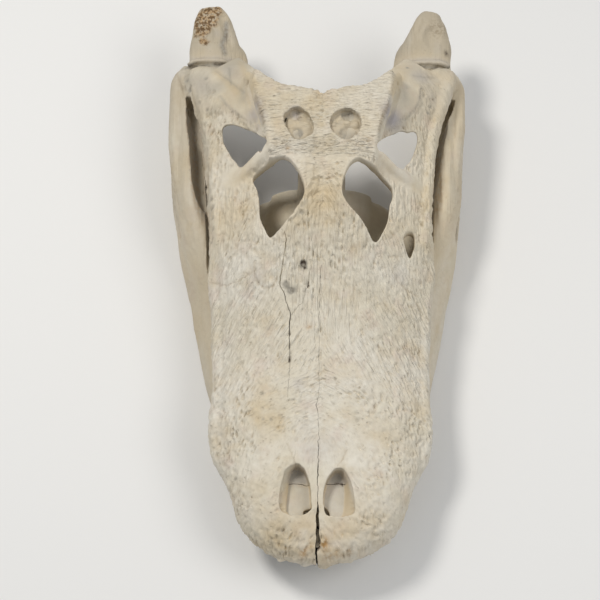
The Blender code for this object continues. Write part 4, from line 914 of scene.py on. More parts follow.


# millimetres out along the normal, how deep in a pit each point is, painted as dirt and shade in the hollows,
# and what steers the fine grooves:
# pits and grooves by zone, then streaks, ripples, fans, lumps, and what single lines and pits add
def craniumRelief(raster, points, normals):
    x, s, z = points.T
    look = reliefLook

    # noise of that size in millimetres
    def mottle(size, salt):
        return softNoise(x, s, z, size, salt)

    # values by zone along the skull: those of the middle, or from them to those of the flanks by outer
    def zoned(inner, flank=None):
        values = softLine(s, look["stations"], look[inner])
        if flank is None:
            return values
        return values * (1 - outer) + softLine(s, look["stations"], look[flank]) * outer

    skin = skinShare(raster, points, normals)
    edges = np.full(x.shape, 16.0)
    for outline in openOutlines + (rightTablePit, leftTablePit):
        edges = np.minimum(edges, np.abs(edgeDistance(x, s, outline)))
    clear = ramp(edges, 0.0, look["edgeFade"])
    tableHalf = softLine(s, tableStations, tableHalfWidths)
    table = ramp(s, 336, 348) * (1 - ramp(np.abs(x) - tableHalf, 0, 2))
    outer = ramp(np.abs(x) / tableHalf, 0.45, 0.95) * (1 - table)
    depth = zoned("innerDepth", "outerDepth")
    halfWidth = softLine(s, craniumStations, craniumHalfWidths)
    depth = depth * (1 - 0.3 * ramp(np.abs(x) - halfWidth, -9, -3) * ramp(s, 120, 160))
    bars = barShare(x, s, 5.5, 9.5)
    smooth = np.maximum(quadrateShare(x, s), bars)
    skin = skin * (1 - 0.8 * bars)
    depth = depth * skin * clear * (1 - 0.88 * smooth) * (1 - 0.3 * table)
    angle = np.clip(zoned("innerAngle", "outerAngle") + 12 * mottle(22.0, 3), 0, 90)
    reference = softLine(s, list(roofRows), [roofRows[k][2] for k in roofRows])
    across = np.abs(x) + 0.8 * np.clip(reference - z, 0, None)
    on = np.nonzero(depth > 0.01)[0]
    coarse, fine, grooves = np.zeros(x.shape), np.zeros(x.shape), np.zeros(x.shape)
    coarse[on], grooves[on] = pitField(x[on], s[on], across[on], angle[on], 1.0, 7)
    fine[on], _ = pitField(x[on], s[on], across[on], angle[on], 0.55, 107, 0.5)
    patch = 0.35 + 0.95 * ramp(mottle(16.0, 8), -0.4, 0.6)
    out = -depth * (look["pitDepth"] * coarse * patch + look["fineDepth"] * fine)
    out += depth * look["waveHeight"] * mottle(4.2, 77)
    grooveShare = zoned("grooves") * skin * clear * (1 - 0.85 * smooth) * (1 - table)
    out += grooveShare * look["grooveHeight"] * grooves
    # dirt and painted shade: the pits and the valleys of the grooves are darkened, in patches
    patchyDirtAndShade = 0.35 + 0.65 * ramp(mottle(11.0, 9), -0.2, 0.5)
    dirtAndShade = patchyDirtAndShade * (depth * (0.55 * coarse * patch + 0.2 * fine)
                     + grooveShare * 0.2 * np.clip(-grooves - 0.2, 0, 1))
    # long streaks on the nasals and the frontal
    streakZone = (1 - ramp(np.abs(x + 2), 24, 40)) * ramp(s, 140, 190) * (1 - ramp(s, 325, 345)) * skin
    streak = softNoise(x, s / 16, 0 * z, 2.3, 12) + 0.6 * softNoise(x, s / 12, 0 * z, 1.3, 13)
    out += streakZone * look["striaHeight"] * streak
    # wavy ripples across the table, strongest in front of the pits
    wave = s + 1.4 * softNoise(x, s, 0 * z, 7.0, 14) + 0.04 * (x / 5) ** 2
    ripple = softNoise(x / 4.2, wave, 0 * z, 1.35, 15)
    rippleShare = table * skin * (0.55 + 0.45 * (1 - ramp(s, 352, 364)))
    out += rippleShare * look["rippleHeight"] * ripple
    # painted shade in the valleys of the ripples
    dirtAndShade += rippleShare * 0.28 * np.clip(-ripple - 0.15, 0, 1)
    # fans of grooves by the notch behind, fine grain everywhere, lumps at the tip
    fan = ramp(s, 388, 396) * (1 - ramp(np.abs(x + 1), 20, 34)) * skin
    out += fan * 0.5 * softNoise(np.arctan2(x, 430 - s) * 36, s / 9, 0 * z, 1.6, 16)
    out += 0.10 * mottle(2.4, 17) + 0.08 * mottle(1.4, 18) * skin
    out += 0.40 * mottle(24.0, 19) * (0.4 + 0.6 * skin)
    out += (1 - ramp(s, 8, 24)) * 0.9 * mottle(5.0, 23)
    # the crest where the quadrate begins, and the folds on it
    crest = np.minimum(*[lineDistance(x, s, line) for line in crestMm])
    out += 1.0 * bell(crest - 0.8, 1.6) * skin
    for line in foldsMm:
        out -= 0.7 * bell(lineDistance(x, s, line), 0.8) * skin
    # sutures as narrow grooves with a zigzag, cracks as narrower ones, single pits as bells
    zig, zag = (0.9 * mottle(2.2, salt) for salt in (21, 22))
    for line in suturesMm:
        groove = bell(lineDistance(x + zig, s + zag, line), 0.75) * skin
        out -= 0.6 * groove
        dirtAndShade += 0.55 * groove
    for line in fineCracksMm:
        groove = bell(lineDistance(x + zig * 0.6, s, line), 0.5) * skin * ramp(mottle(5.0, 24), -0.6, 0.1)
        out -= 0.5 * groove
        dirtAndShade += 0.45 * groove
    for px, ps, radius, deep, grey in pitsMm:
        d = np.hypot(x - px, s - ps)
        out -= deep * (np.clip(1.25 * bell(d, radius), 0, 1) * skin)
        out += 0.18 * bell(d - radius * 1.7, 0.8) * skin
    flow = np.stack([angle / 90, grooveShare, np.clip(depth, 0, 1.2) / 1.2, rippleShare])
    return out, np.clip(dirtAndShade, 0, 1), flow


# x, s, radius, rise of the hollows and bridges on the floors of the pits of the table
pitFloorsMm = (
    (-24.6, 384.4, 4.6, -2.4), (-22, 365.9, 5.0, -2.2), (-27.5, 374.6, 5.0, 1.3), (-13.8, 374.5, 5.4, 1.2),
    (-20.4, 381.0, 1.8, -1.5), (21.5, 383.6, 5.6, -2.0), (21.5, 366.2, 7.2, -2.4), (21.5, 376.4, 3.4, 1.6),
    (30, 374.6, 4.0, 1.4), (9.4, 376, 3.8, 1.2), (15.5, 375.6, 3.0, 0.9))


# rough floor of the pits of the table: noise, plateaus with soft edges, and where the floor is
def tableFloor(points, normals):
    x, s, z = points.T
    floor = np.zeros(x.shape)
    for outline in (rightTablePit, leftTablePit):
        floor = np.maximum(floor, ramp(-edgeDistance(x, s, outline), -1.0, 0.5))
    floor = floor * (z < 153) * (z > 138) * ramp(normals[:, 2], -0.2, 0.5)
    lumps = 0.7 * softNoise(x, s, z, 5.0, 51) + 0.6 * softNoise(x, s, z, 2.5, 52)
    wobble = 0.8 * softNoise(x, s, 0 * z, 3.0, 54)
    for px, ps, radius, rise in pitFloorsMm:
        lumps += rise * (1 - ramp(np.hypot(x - px, s - ps) + wobble, radius * 0.7, radius * 1.15))
    return floor * (lumps - 0.4), floor


# Cranium

craniumLook = {
    "baseVoxel": 1.25,
    "voxel": 0.8,
    "triangles": 195000,
    "barWear": 22,
    "orbitFloor": 62.0,
    "temporalFloor": 50.0,
    "temporalLow": 92.0,
    "narisFloor": 69.3,
    "cheekHoleFloor": 75.0,
    "pitFloor": 145.5,
    "above": 190.0,
    "jointHeight": 83.0,
    "jointStart": 405.0,
    # the beam along the rim: points, height over the margin, reach past the middle, half width and height
    "rimPoints": 60,
    "rimLift": 9.0,
    "rimOverlap": 4.0,
    "rimHalves": (7.8, 9.8),
    "palateCut": (20, 80),
    "frontPalateCut": (20, 70.5),
    "buriedDepth": 3.5,       # skin this far under the roof may be thinned first
    "frontKept": (84, 66.5),  # but not in front of this s above this height
    "sharpAngle": 55,
}


# limbs and balls behind and under one side of the roof, mirrored by the sign of x
def rearShapes(sign):
    # points of the left side, or the same with -x
    def sided(*points):
        return [(x * sign, s, z) for x, s, z in points]

    quadrate = limb(sided((30, 378, 130), (52, 402, 122), (72, 428, 108), (88, 446, 96), (98, 458, 91)),
                    (14, 20, 24, 27, 27), (12, 13, 12, 10, 7))
    bar = limb(sided((42, 354, 146), (52, 350, 135), (64, 344, 120), (76, 340, 104), (84, 338, 92)),
               (7, 6.2, 6, 6.6, 8), (6, 5.6, 5.6, 6.8, 8))
    cheek = limb(sided((90, 275, 72), (93, 305, 82), (96, 340, 84), (99, 375, 86), (104, 405, 88),
                       (112, 433, 90), (117, 457, 90)),
                 (8, 7, 6, 6, 7, 8, 9), (12, 14, 13, 13, 12, 10, 7))
    wing = limb(sided((0, 318, 68), (24, 320, 66), (46, 319, 59), (62, 324, 49), (73, 330, 36)),
                (30, 30, 28, 22, 14), (6, 5, 4, 4, 5))
    strut = limb(sided((88, 283, 66), (82, 300, 62), (74, 316, 52), (69, 330, 46)),
                 (8, 8, 8, 8), (7, 6, 6, 7))
    backWing = limb(sided((12, 402, 132), (36, 408, 132), (56, 420, 132), (68, 432, 126)),
                    (7, 6, 6, 6), (14, 13, 12, 9))
    condyles = [ball((x * sign, 458, 91), (r, 7, 7)) for x, r in ((86, 11), (111, 14))]
    return [quadrate, bar, cheek, wing, strut, backWing] + condyles


# limbs and balls along the middle: braincase, neck joint, vomer and the worn tip's spurs
def middleShapes():
    limbs = (
        ([(200, 62), (225, 66), (260, 70), (300, 72), (345, 70)], (22, 23, 24, 25, 22), (8, 12, 14, 14, 10)),
        ([(262, 82), (285, 89), (315, 97), (345, 110)], (16, 14, 13, 16), (16, 22, 28, 30)),
        ([(335, 124), (355, 124), (380, 124), (404, 128)], (16, 24, 30, 32), (24, 27, 27, 22)),
        ([(345, 70), (368, 78), (390, 96), (404, 112)], (22, 22, 22, 18), (9, 14, 14, 10)),
    )
    balls = [((0, 412, 108), (10, 10, 9)), ((-11, 402, 92), (7, 8, 9)), ((11, 402, 92), (7, 8, 9))]
    spurs = [((-34, 6, 47), (3.4, 3.4, 3)), ((-14, 1.8, 47), (3.4, 3, 2.6)), ((3, 0.8, 47), (4, 3, 3))]
    return [limb([(0, s, z) for s, z in line], wide, high) for line, wide, high in limbs] \
        + [ball(*one) for one in balls] + [block((-30, 30, 54), (30, 84, 66))] + [ball(*one) for one in spurs]


# smoothed surface: every point moves half way to the mean of its neighbours, times its share
def wear(obj, share, times):
    group = obj.vertex_groups.new(name="wear")
    at = np.nonzero(share > 0.02)[0]
    steps = np.round(share[at] * 10).astype(int)
    for step in range(1, 11):
        group.add(at[steps == step].tolist(), step / 10, "REPLACE")
    modifier = obj.modifiers.new("wear", "SMOOTH")
    modifier.factor = 0.5
    modifier.iterations = times
    modifier.vertex_group = "wear"
    bpy.context.view_layer.objects.active = obj
    bpy.ops.object.modifier_apply(modifier="wear")
    obj.vertex_groups.clear()


# roof with the first openings, and every shape under it, grown into one skin
def growSkull(top, size, uppers):
    look = craniumLook
    lifted = top.copy()
    lifted[..., 2] += roofSwell(top[..., 0], top[..., 1]).reshape(top.shape[:2]) * ramp(top[..., 1], 8, 22)
    roof = makeObject("roof", slab(lifted, palateUnder(top, size)))
    for outline, low in ((rightOrbit, look["orbitFloor"]), (leftOrbit, look["orbitFloor"]),
                         (rightTemporal, look["temporalFloor"]), (leftTemporal, look["temporalFloor"]),
                         (cheekHole, look["cheekHoleFloor"])):
        carve(roof, prism(outline, low, look["above"]))
    print("roof carved", triangleCount(roof))
    shapes = middleShapes()
    line, run = rimPath()
    middles, _ = along(line, run, np.linspace(0, run[-1], look["rimPoints"]))
    margin = softLine(middles[:, 1], palateStations, marginHeights)
    for _, sign in sides:
        spine = np.stack([middles[:, 0] * sign, middles[:, 1], margin + look["rimLift"]], -1)
        spine[0, 0] = -look["rimOverlap"] * sign
        shapes.append(limb(spine, *look["rimHalves"], steps=2))
        shapes += rearShapes(sign)
    shapes += [collar(tooth, toothLook["upperCollar"]) for tooth in uppers]
    rest = makeObject("rest", together(shapes))
    bpy.ops.object.select_all(action="DESELECT")
    for obj in (roof, rest):
        obj.select_set(True)
    bpy.context.view_layer.objects.active = roof
    bpy.ops.object.join()
    roof.name = "cranium_bone"
    fuse(roof, look["baseVoxel"], 2)
    print("skin grown", triangleCount(roof))
    return roof


# cutters of the nostrils: the rim straight up, and the foot of the walls below, undercut on the right
def nostrilCutters():
    cutters = []
    for rim, foot, back, height in ((rightNaris, rightNarisFoot, 2.5, 73.2),
                                    (leftNaris, leftNarisFoot, 0.0, 70.0)):
        low = [(x - back * (x < -24), s, craniumLook["narisFloor"]) for x, s in foot]
        crest = [(x, s, height) for x, s in foot]
        cutters.append(funnel([low, crest, rim], craniumLook["above"]))
    return cutters


# every opening that isn't in the roof alone, each taken away in turn
def carveOpenings(skull):
    look = craniumLook
    barEdge = limb([(-50, 359.5, 147), (-54, 357.8, 136), (-59, 355.8, 128), (-65, 354.8, 120),
                    (-72, 352.2, 115)], 2.7, 3.6)
    recesses = [limb([(52 * k, 350, 137), (56 * k, 366, 138), (60 * k, 382, 139), (66 * k, 402, 138),
                      (70 * k, 424, 133)], (3.5, 5.5, 6, 6.5, 4), (4, 5.5, 6, 6, 4)) for k in (-1, 1)]
    temporals = [undercut(outline, heights, look["temporalLow"], look["above"]) for outline, heights in
                 ((rightTemporal, rightTemporalHeights), (leftTemporal, leftTemporalHeights))]
    prisms = [prism(*one) for one in (
        (rightTablePit, look["pitFloor"], look["above"]), (leftTablePit, look["pitFloor"], look["above"]),
        (frontPalateHole, *look["frontPalateCut"]),
        ([(-x, s) for x, s in palateWindow], *look["palateCut"]), (palateWindow, *look["palateCut"]))]
    spinalHole = limb([(0, 385, 124), (0, 450, 124)], 8, 8)
    throat = limb([(0, 338, 66), (0, 352, 62), (0, 372, 60)], (9, 11, 12), (5, 6, 7))
    for shape in nostrilCutters() + [barEdge] + temporals + prisms + [spinalHole, throat] + recesses:
        carve(skull, shape)


# cracks, seam, gap, holes, the flat over the jaw joints and the sockets, cut into the finished relief
def carveDetails(skull, uppers):
    tops, _ = pointsOf(skull)

    # height of the skin at each point of a line: the highest point within three millimetres
    def level(line):
        return np.array([tops[np.hypot(tops[:, 0] - px, tops[:, 1] - ps) < 3.0, 2].max() for px, ps in line])

    # wedge from above the skin to some depth below it
    def fissure(line, widths, deep):
        top = level(line)
        return wedge(line, widths, top + 4, top - deep)

    # ball about the skin's height
    def pock(x, s, radii, lift):
        return ball((x, s, level([(x, s)])[0] + lift), radii)

    jointBlock = block((-200, craniumLook["jointStart"], 60), (200, 530, craniumLook["jointHeight"]))
    gapLow = np.interp([s for x, s in gapMm], (-2, 7, 20, 40, 47), (44, 49, 53, 64, 76))
    for shapes in ([jointBlock] + [pock(*hole, 0.8) for hole in holesMm]
                   + [fissure(crackMm, crackWidths, 3.5), fissure(midlineMm, midlineWidths, 4.0)],
                   [fissure(forkMm, forkWidths, 2.5), wedge(gapMm, gapWidths, 100.0, gapLow),
                    pock(*basinMm, 0.6)]
                   + [wedge(line, 0.38, 72.0, 67.9) for line in narisSutures],
                   [toothRoom(tooth, -1) for tooth in uppers]):
        carve(skull, together(shapes))
        print("carved", triangleCount(skull))
    keepLargest(skull)


# grown, carved, fused finer, cut with relief, worn on the bars, detailed, thinned where it shows least
def makeCranium(uppers):
    look = craniumLook
    top, size = roofGrid()
    raster = roofRaster(top)
    skull = growSkull(top, size, uppers)
    carveOpenings(skull)
    fuse(skull, look["voxel"], 2)
    keepLargest(skull)
    points, normals = pointsOf(skull)
    relief, _, _ = craniumRelief(raster, points, normals)
    floorRelief, _ = tableFloor(points, normals)
    pushOut(skull, relief + floorRelief)
    x, s, z = pointsOf(skull)[0].T
    wear(skull, barShare(x, s, 7.0, 10.0) * ramp(z, 84, 90) * (1 - ramp(z, 151, 155)), look["barWear"])
    print("relief cut", triangleCount(skull))
    carveDetails(skull, uppers)
    points, normals = pointsOf(skull)
    x, s, z = points.T
    below = roofAt(raster, x, s) - z
    buried = (skinShare(raster, points, normals) < 0.05) & (below > look["buriedDepth"])
    frontS, frontZ = look["frontKept"]
    thinOut(skull, look["triangles"], buried & ~((s < frontS) & (z > frontZ)))
    keepLargest(skull)
    print("cranium", triangleCount(skull), "triangles")
    return skull, raster


# Lower jaw

jawLook = {
    "baseVoxel": 1.3,
    "voxel": 0.95,
    "triangles": 92000,
    "jointHeight": 82.7,
    "jointSpan": (405, 468.5),
    "halfGap": 0.15,          # half the gap between the two halves at the chin
    "chinEnd": 200,
    "above": 190.0,
    "sharpAngle": 55,
}


# streaks along the jaw, pits on its outside behind and in front; also how deep in a pit each point is,
# painted as dirt and shade in the hollows
def jawRelief(points, normals, sign):
    x, s, z = points.T
    outward = ramp(normals[:, 0] * sign, 0.1, 0.6)
    rear = outward * ramp(s, 300, 350) * (1 - ramp(z, 60, 78)) * (1 - ramp(s, 470, 485))
    front = outward * (1 - ramp(s, 90, 150))
    out = softNoise(x, s / 10, z, 3.0, 61) * 0.28 + softNoise(x, s / 8, z, 1.7, 62) * 0.14
    bend = 1.5 * softNoise(x, s, z, 9.0, 65)
    rearPits = rear * dents((s + bend) / 7.0, (z + x / 4 + bend) / 4.0, 66)
    frontPits = front * dents((s + bend) / 4.6, (x * 0.7 + z) / 4.2, 67)
    smallPits = dents(s / 3.4, (x + z) / 2.6, 68) * (0.35 + 0.65 * outward) * (1 - ramp(s, 470, 485))
    out -= 0.9 * rearPits + 0.55 * frontPits + 0.16 * smallPits
    out += 0.5 * softNoise(x, s, z, 20.0, 63) + 0.1 * softNoise(x, s, z, 2.6, 64)
    return out, np.clip(0.8 * rearPits + 0.6 * frontPits + 0.15 * smallPits, 0, 1)


# measures that differ between the two sides, each in millimetres from the jaw's own middle
jawSides = {
    "right": {
        "beamShift": (0,) * 15,
        "shoulder": ((110, 285, 48), (120, 315, 53), (127, 350, 57), (132.3, 395, 61), (132.8, 436, 64),
                     (131.5, 458, 66), (122, 474, 69)),
        "pocket": ((99, 322, 72), (106, 336, 72), (110, 353, 73), (112.5, 384, 74), (115, 405, 78),
                   (119, 428, 84)),
        "heel": ((96, 455, 62), (95, 476, 72), (98, 490, 79), (99.5, 505, 85.5), (101.5, 518, 90),
                 (103, 529, 92)),
        "heelWide": (24, 29, 25, 20.5, 17, 10.5),
        "trough": ((79, 474, 96), (82.5, 488, 97), (87, 503, 99), (91, 518, 101)),
    },
    "left": {
        "beamShift": (0,) * 10 + (-1, -2.6, -3.5, -1.5, 0),
        "shoulder": ((109, 285, 48), (117, 315, 53), (124, 350, 57), (127.5, 390, 61), (130.7, 425, 64),
                     (131, 452, 66), (122.5, 470, 69)),
        "pocket": ((97.5, 330, 72), (101.5, 345, 72), (105, 365, 73), (108, 386, 75), (112, 405, 79),
                   (117, 425, 85)),
        "heel": ((98, 455, 62), (98.5, 477, 72), (103, 494, 80), (104.5, 506, 86), (105.5, 517, 90),
                 (107.5, 526, 91)),
        "heelWide": (22, 27.5, 23.5, 18.5, 14, 8.5),
        "trough": ((79, 476, 97), (85, 490, 98), (91, 503, 100), (97, 516, 102)),
    },
}
# outer edge of the cheek seen from above, right and left
cheekStations = (258, 272, 325, 358, 381, 397, 411, 426, 440)
cheekEdge = {
    "right": (102.2, 102.9, 105.5, 107.6, 110.3, 114, 119, 125, 127),
    "left": (99.2, 99.4, 102.2, 103.3, 105.3, 108.7, 114, 120.8, 124.5),
}


# one half of the jaw: leant beam with shoulder, chin, seat, heel and lip grown together, hollowed, given
# relief, thinned, then cut flat at the joint, the middle and the table, and opened for every tooth
def makeJaw(side, sign, uppers, lowers):
    own, look = jawSides[side], jawLook

    # points of the left side, or the same with -x, swung with the jaw
    def sided(*points):
        return [(x * sign + float(jawSwing(s)), s, z) for x, s, z in points]

    beamLine = [(x + shift, s, z) for (x, s), z, shift in zip(jawLine, jawMiddles, own["beamShift"])]
    shapes = [limb(sided(*beamLine), jawHalfWidths, jawHalfHeights, 36, [a * sign for a in jawLeans])]
    for line, wide, high in (
            (own["shoulder"], (5, 7, 8, 8, 8, 8, 7), (8, 11, 13, 14, 13, 12, 11)),
            (((3, 33, 22), (10, 48, 18), (26, 66, 18), (42, 84, 20)), (16, 22, 20, 14), (12, 14, 15, 14)),
            (((76, 460, 72), (98, 458, 70), (128, 456, 68)), (14, 17, 14), (12, 14, 16)),
            (own["heel"], own["heelWide"], (16, 14, 12, 9.5, 7, 4.5)),
            (((84, 472.5, 84.6), (92, 474, 86.6), (106, 474.5, 86.6), (116, 474, 86), (123, 472, 82)),
             2.3, 3.0)):
        shapes.append(limb(sided(*line), wide, high))
    shapes += [collar(tooth, toothLook["lowerCollar"]) for tooth in lowers if tooth[0] == side]
    jaw = makeObject(side + "_jaw_bone", together(shapes))
    fuse(jaw, look["baseVoxel"], 2)
    pocket = limb(sided(*own["pocket"]), (3.5, 6, 6.5, 7, 7, 5), (8, 19, 22, 24, 22, 14))
    window = limb([(100 * sign, 330, 42), (150 * sign, 330, 42)], 22, 10)
    groove = limb(sided((52, 110, 22), (62, 160, 22), (70, 210, 24), (80, 255, 30), (90, 290, 36)),
                  (3, 4, 4, 4, 3), (2, 3, 3.5, 5, 6))
    trough = limb(sided(*own["trough"]), (6, 7, 7, 6), (13, 11, 9, 8), lean=[-24 * sign] * 4)
    dish = ball(sided((108, 494, 100))[0], (14, 17, 11))
    jointGroove = limb(sided((80, 478.5, 91), (100, 480, 92), (122, 479.5, 90.5)), 1.5, 4.2)
    # the back of the jaw's edge is cut down where the cheek lies over it
    backS = np.linspace(258, 440, 60)
    edge = np.interp(backS, cheekStations, cheekEdge[side]) + 0.9
    rows = np.stack([np.stack([60 * sign + 0 * edge, edge * sign], 1), np.stack([backS, backS], 1)], -1)
    shelf = slab(*[np.concatenate([rows, np.full(rows.shape[:2] + (1,), height)], -1)
                   for height in (look["above"], toothLook["shelfHeight"])])
    for shape in (pocket, window, groove, trough, dish, jointGroove, shelf):
        carve(jaw, shape)
    fuse(jaw, look["voxel"], 2)
    keepLargest(jaw)
    relief, _ = jawRelief(*pointsOf(jaw), sign)
    pushOut(jaw, relief)
    thinOut(jaw, look["triangles"])
    jointStart, jointEnd = look["jointSpan"]
    carve(jaw, block((-200, jointStart, look["jointHeight"]), (200, jointEnd, look["above"])))
    near, far = sorted((-200 * sign, look["halfGap"] * sign))
    carve(jaw, block((near, -200, -200), (far, look["chinEnd"], look["above"])))
    carve(jaw, block((-200, -200, -200), (200, 728, 0)))
    for teeth, direction in ((lowers, 1), (uppers, -1)):
        carve(jaw, together([toothRoom(tooth, direction) for tooth in teeth if tooth[0] == side]))
    keepLargest(jaw)
    print(side, "jaw", triangleCount(jaw), "triangles")
    return jaw


# Materials

# material with a shader, and short calls that add nodes to it
def nodeMaker(name):
    material = bpy.data.materials.new(name)
    material.use_nodes = True
    tree = material.node_tree
    tree.nodes.clear()
    shader = tree.nodes.new("ShaderNodeBsdfPrincipled")
    output = tree.nodes.new("ShaderNodeOutputMaterial")
    tree.links.new(shader.outputs[0], output.inputs[0])

    # a link from another node's socket, or a plain value
    def put(value, socket):
        if isinstance(value, bpy.types.NodeSocket):
            tree.links.new(value, socket)
        elif isinstance(value, tuple) and len(value) == 3 and socket.type == "RGBA":
            socket.default_value = (*value, 1.0)
        else:
            socket.default_value = value

    # new node of a kind with its sockets filled, giving one of its outputs
    def add(kind, output, sockets, **settings):
        node = tree.nodes.new("ShaderNode" + kind)
        for key, value in settings.items():
            setattr(node, key, value)
        for key, value in sockets.items():
            put(value, node.inputs[key])
        return node.outputs[output]

    # Object coordinates, times a stretch if there is one
    def place(stretch=None):
        where = add("TexCoord", "Object", {})
        return where if stretch is None else add("Mapping", 0, {"Vector": where, "Scale": stretch})

    # cloud noise
    def noise(scale, detail=3.0, rough=0.5, stretch=None):
        return add("TexNoise", "Fac", {"Scale": scale, "Detail": detail, "Roughness": rough,
                                       "Vector": place(stretch)})

    # distance to the nearest of scattered seeds
    def pores(scale):
        return add("TexVoronoi", "Distance", {"Scale": scale, "Vector": place()})

    # noise stretched along a direction that fans out alike on both sides: of (|x|, y, sign x), turned
    def flow(scale, turned, longer):
        x = add("SeparateXYZ", 0, {0: place()})
        fromMiddle = sums("SUBTRACT", x, worldShift * mm)
        whole = add("CombineXYZ", 0, {0: sums("ABSOLUTE", fromMiddle), 1: x.node.outputs[1],
                                      2: sums("SIGN", fromMiddle)})
        turn = add("Mapping", 0, {"Vector": whole, "Rotation": (0, 0, turned * pi / 180)})
        stretch = add("Mapping", 0, {"Vector": turn, "Scale": (1 / longer, 1.0, 1.0)})
        return add("TexNoise", "Fac", {"Scale": scale, "Detail": 2.5, "Distortion": 0.35, "Vector": stretch})

    # smooth step from first to last while the value goes from low to high
    def spread(value, low, high, first=0.0, last=1.0):
        return add("MapRange", 0, {"Value": value, "From Min": low, "From Max": high, "To Min": first,
                                   "To Max": last}, interpolation_type="SMOOTHSTEP")

    # one sum of two values
    def sums(kind, a, b=0.0):
        return add("Math", 0, {0: a, 1: b}, operation=kind)

    # product of two values
    def times(a, b):
        return sums("MULTIPLY", a, b)

    # colour (1 - share) a + share b
    def blend(share, a, b):
        return add("Mix", 2, {0: share, 6: a, 7: b}, data_type="RGBA")

    # painted layer of the points
    def painted(layer):
        return add("Attribute", "Fac", {}, attribute_name=layer)

    # normal tilted by the slope of a height
    def bump(height, strength, distance, normal=None):
        under = {} if normal is None else {"Normal": normal}
        return add("Bump", 0, {"Strength": strength, "Distance": distance, "Height": height, **under})

    return material, shader, put, noise, pores, flow, spread, sums, times, blend, painted, bump


boneLook = {
    "ivory": (0.680, 0.625, 0.505),
    "chalk": (0.735, 0.695, 0.605),
    "buff": (0.600, 0.480, 0.300),
    "rose": (0.640, 0.520, 0.440),
    "moss": (0.560, 0.555, 0.430),
    "greyBoneAndShade": (0.330, 0.305, 0.255),
    "cool": (0.400, 0.370, 0.365),
    "pit": (0.330, 0.255, 0.165),
    "rustAndShade": (0.400, 0.235, 0.090),
    "soil": (0.130, 0.075, 0.030),
    "depthShade": (0.045, 0.026, 0.014),
    "roughness": 0.62,
    "gloss": 0.35,
}


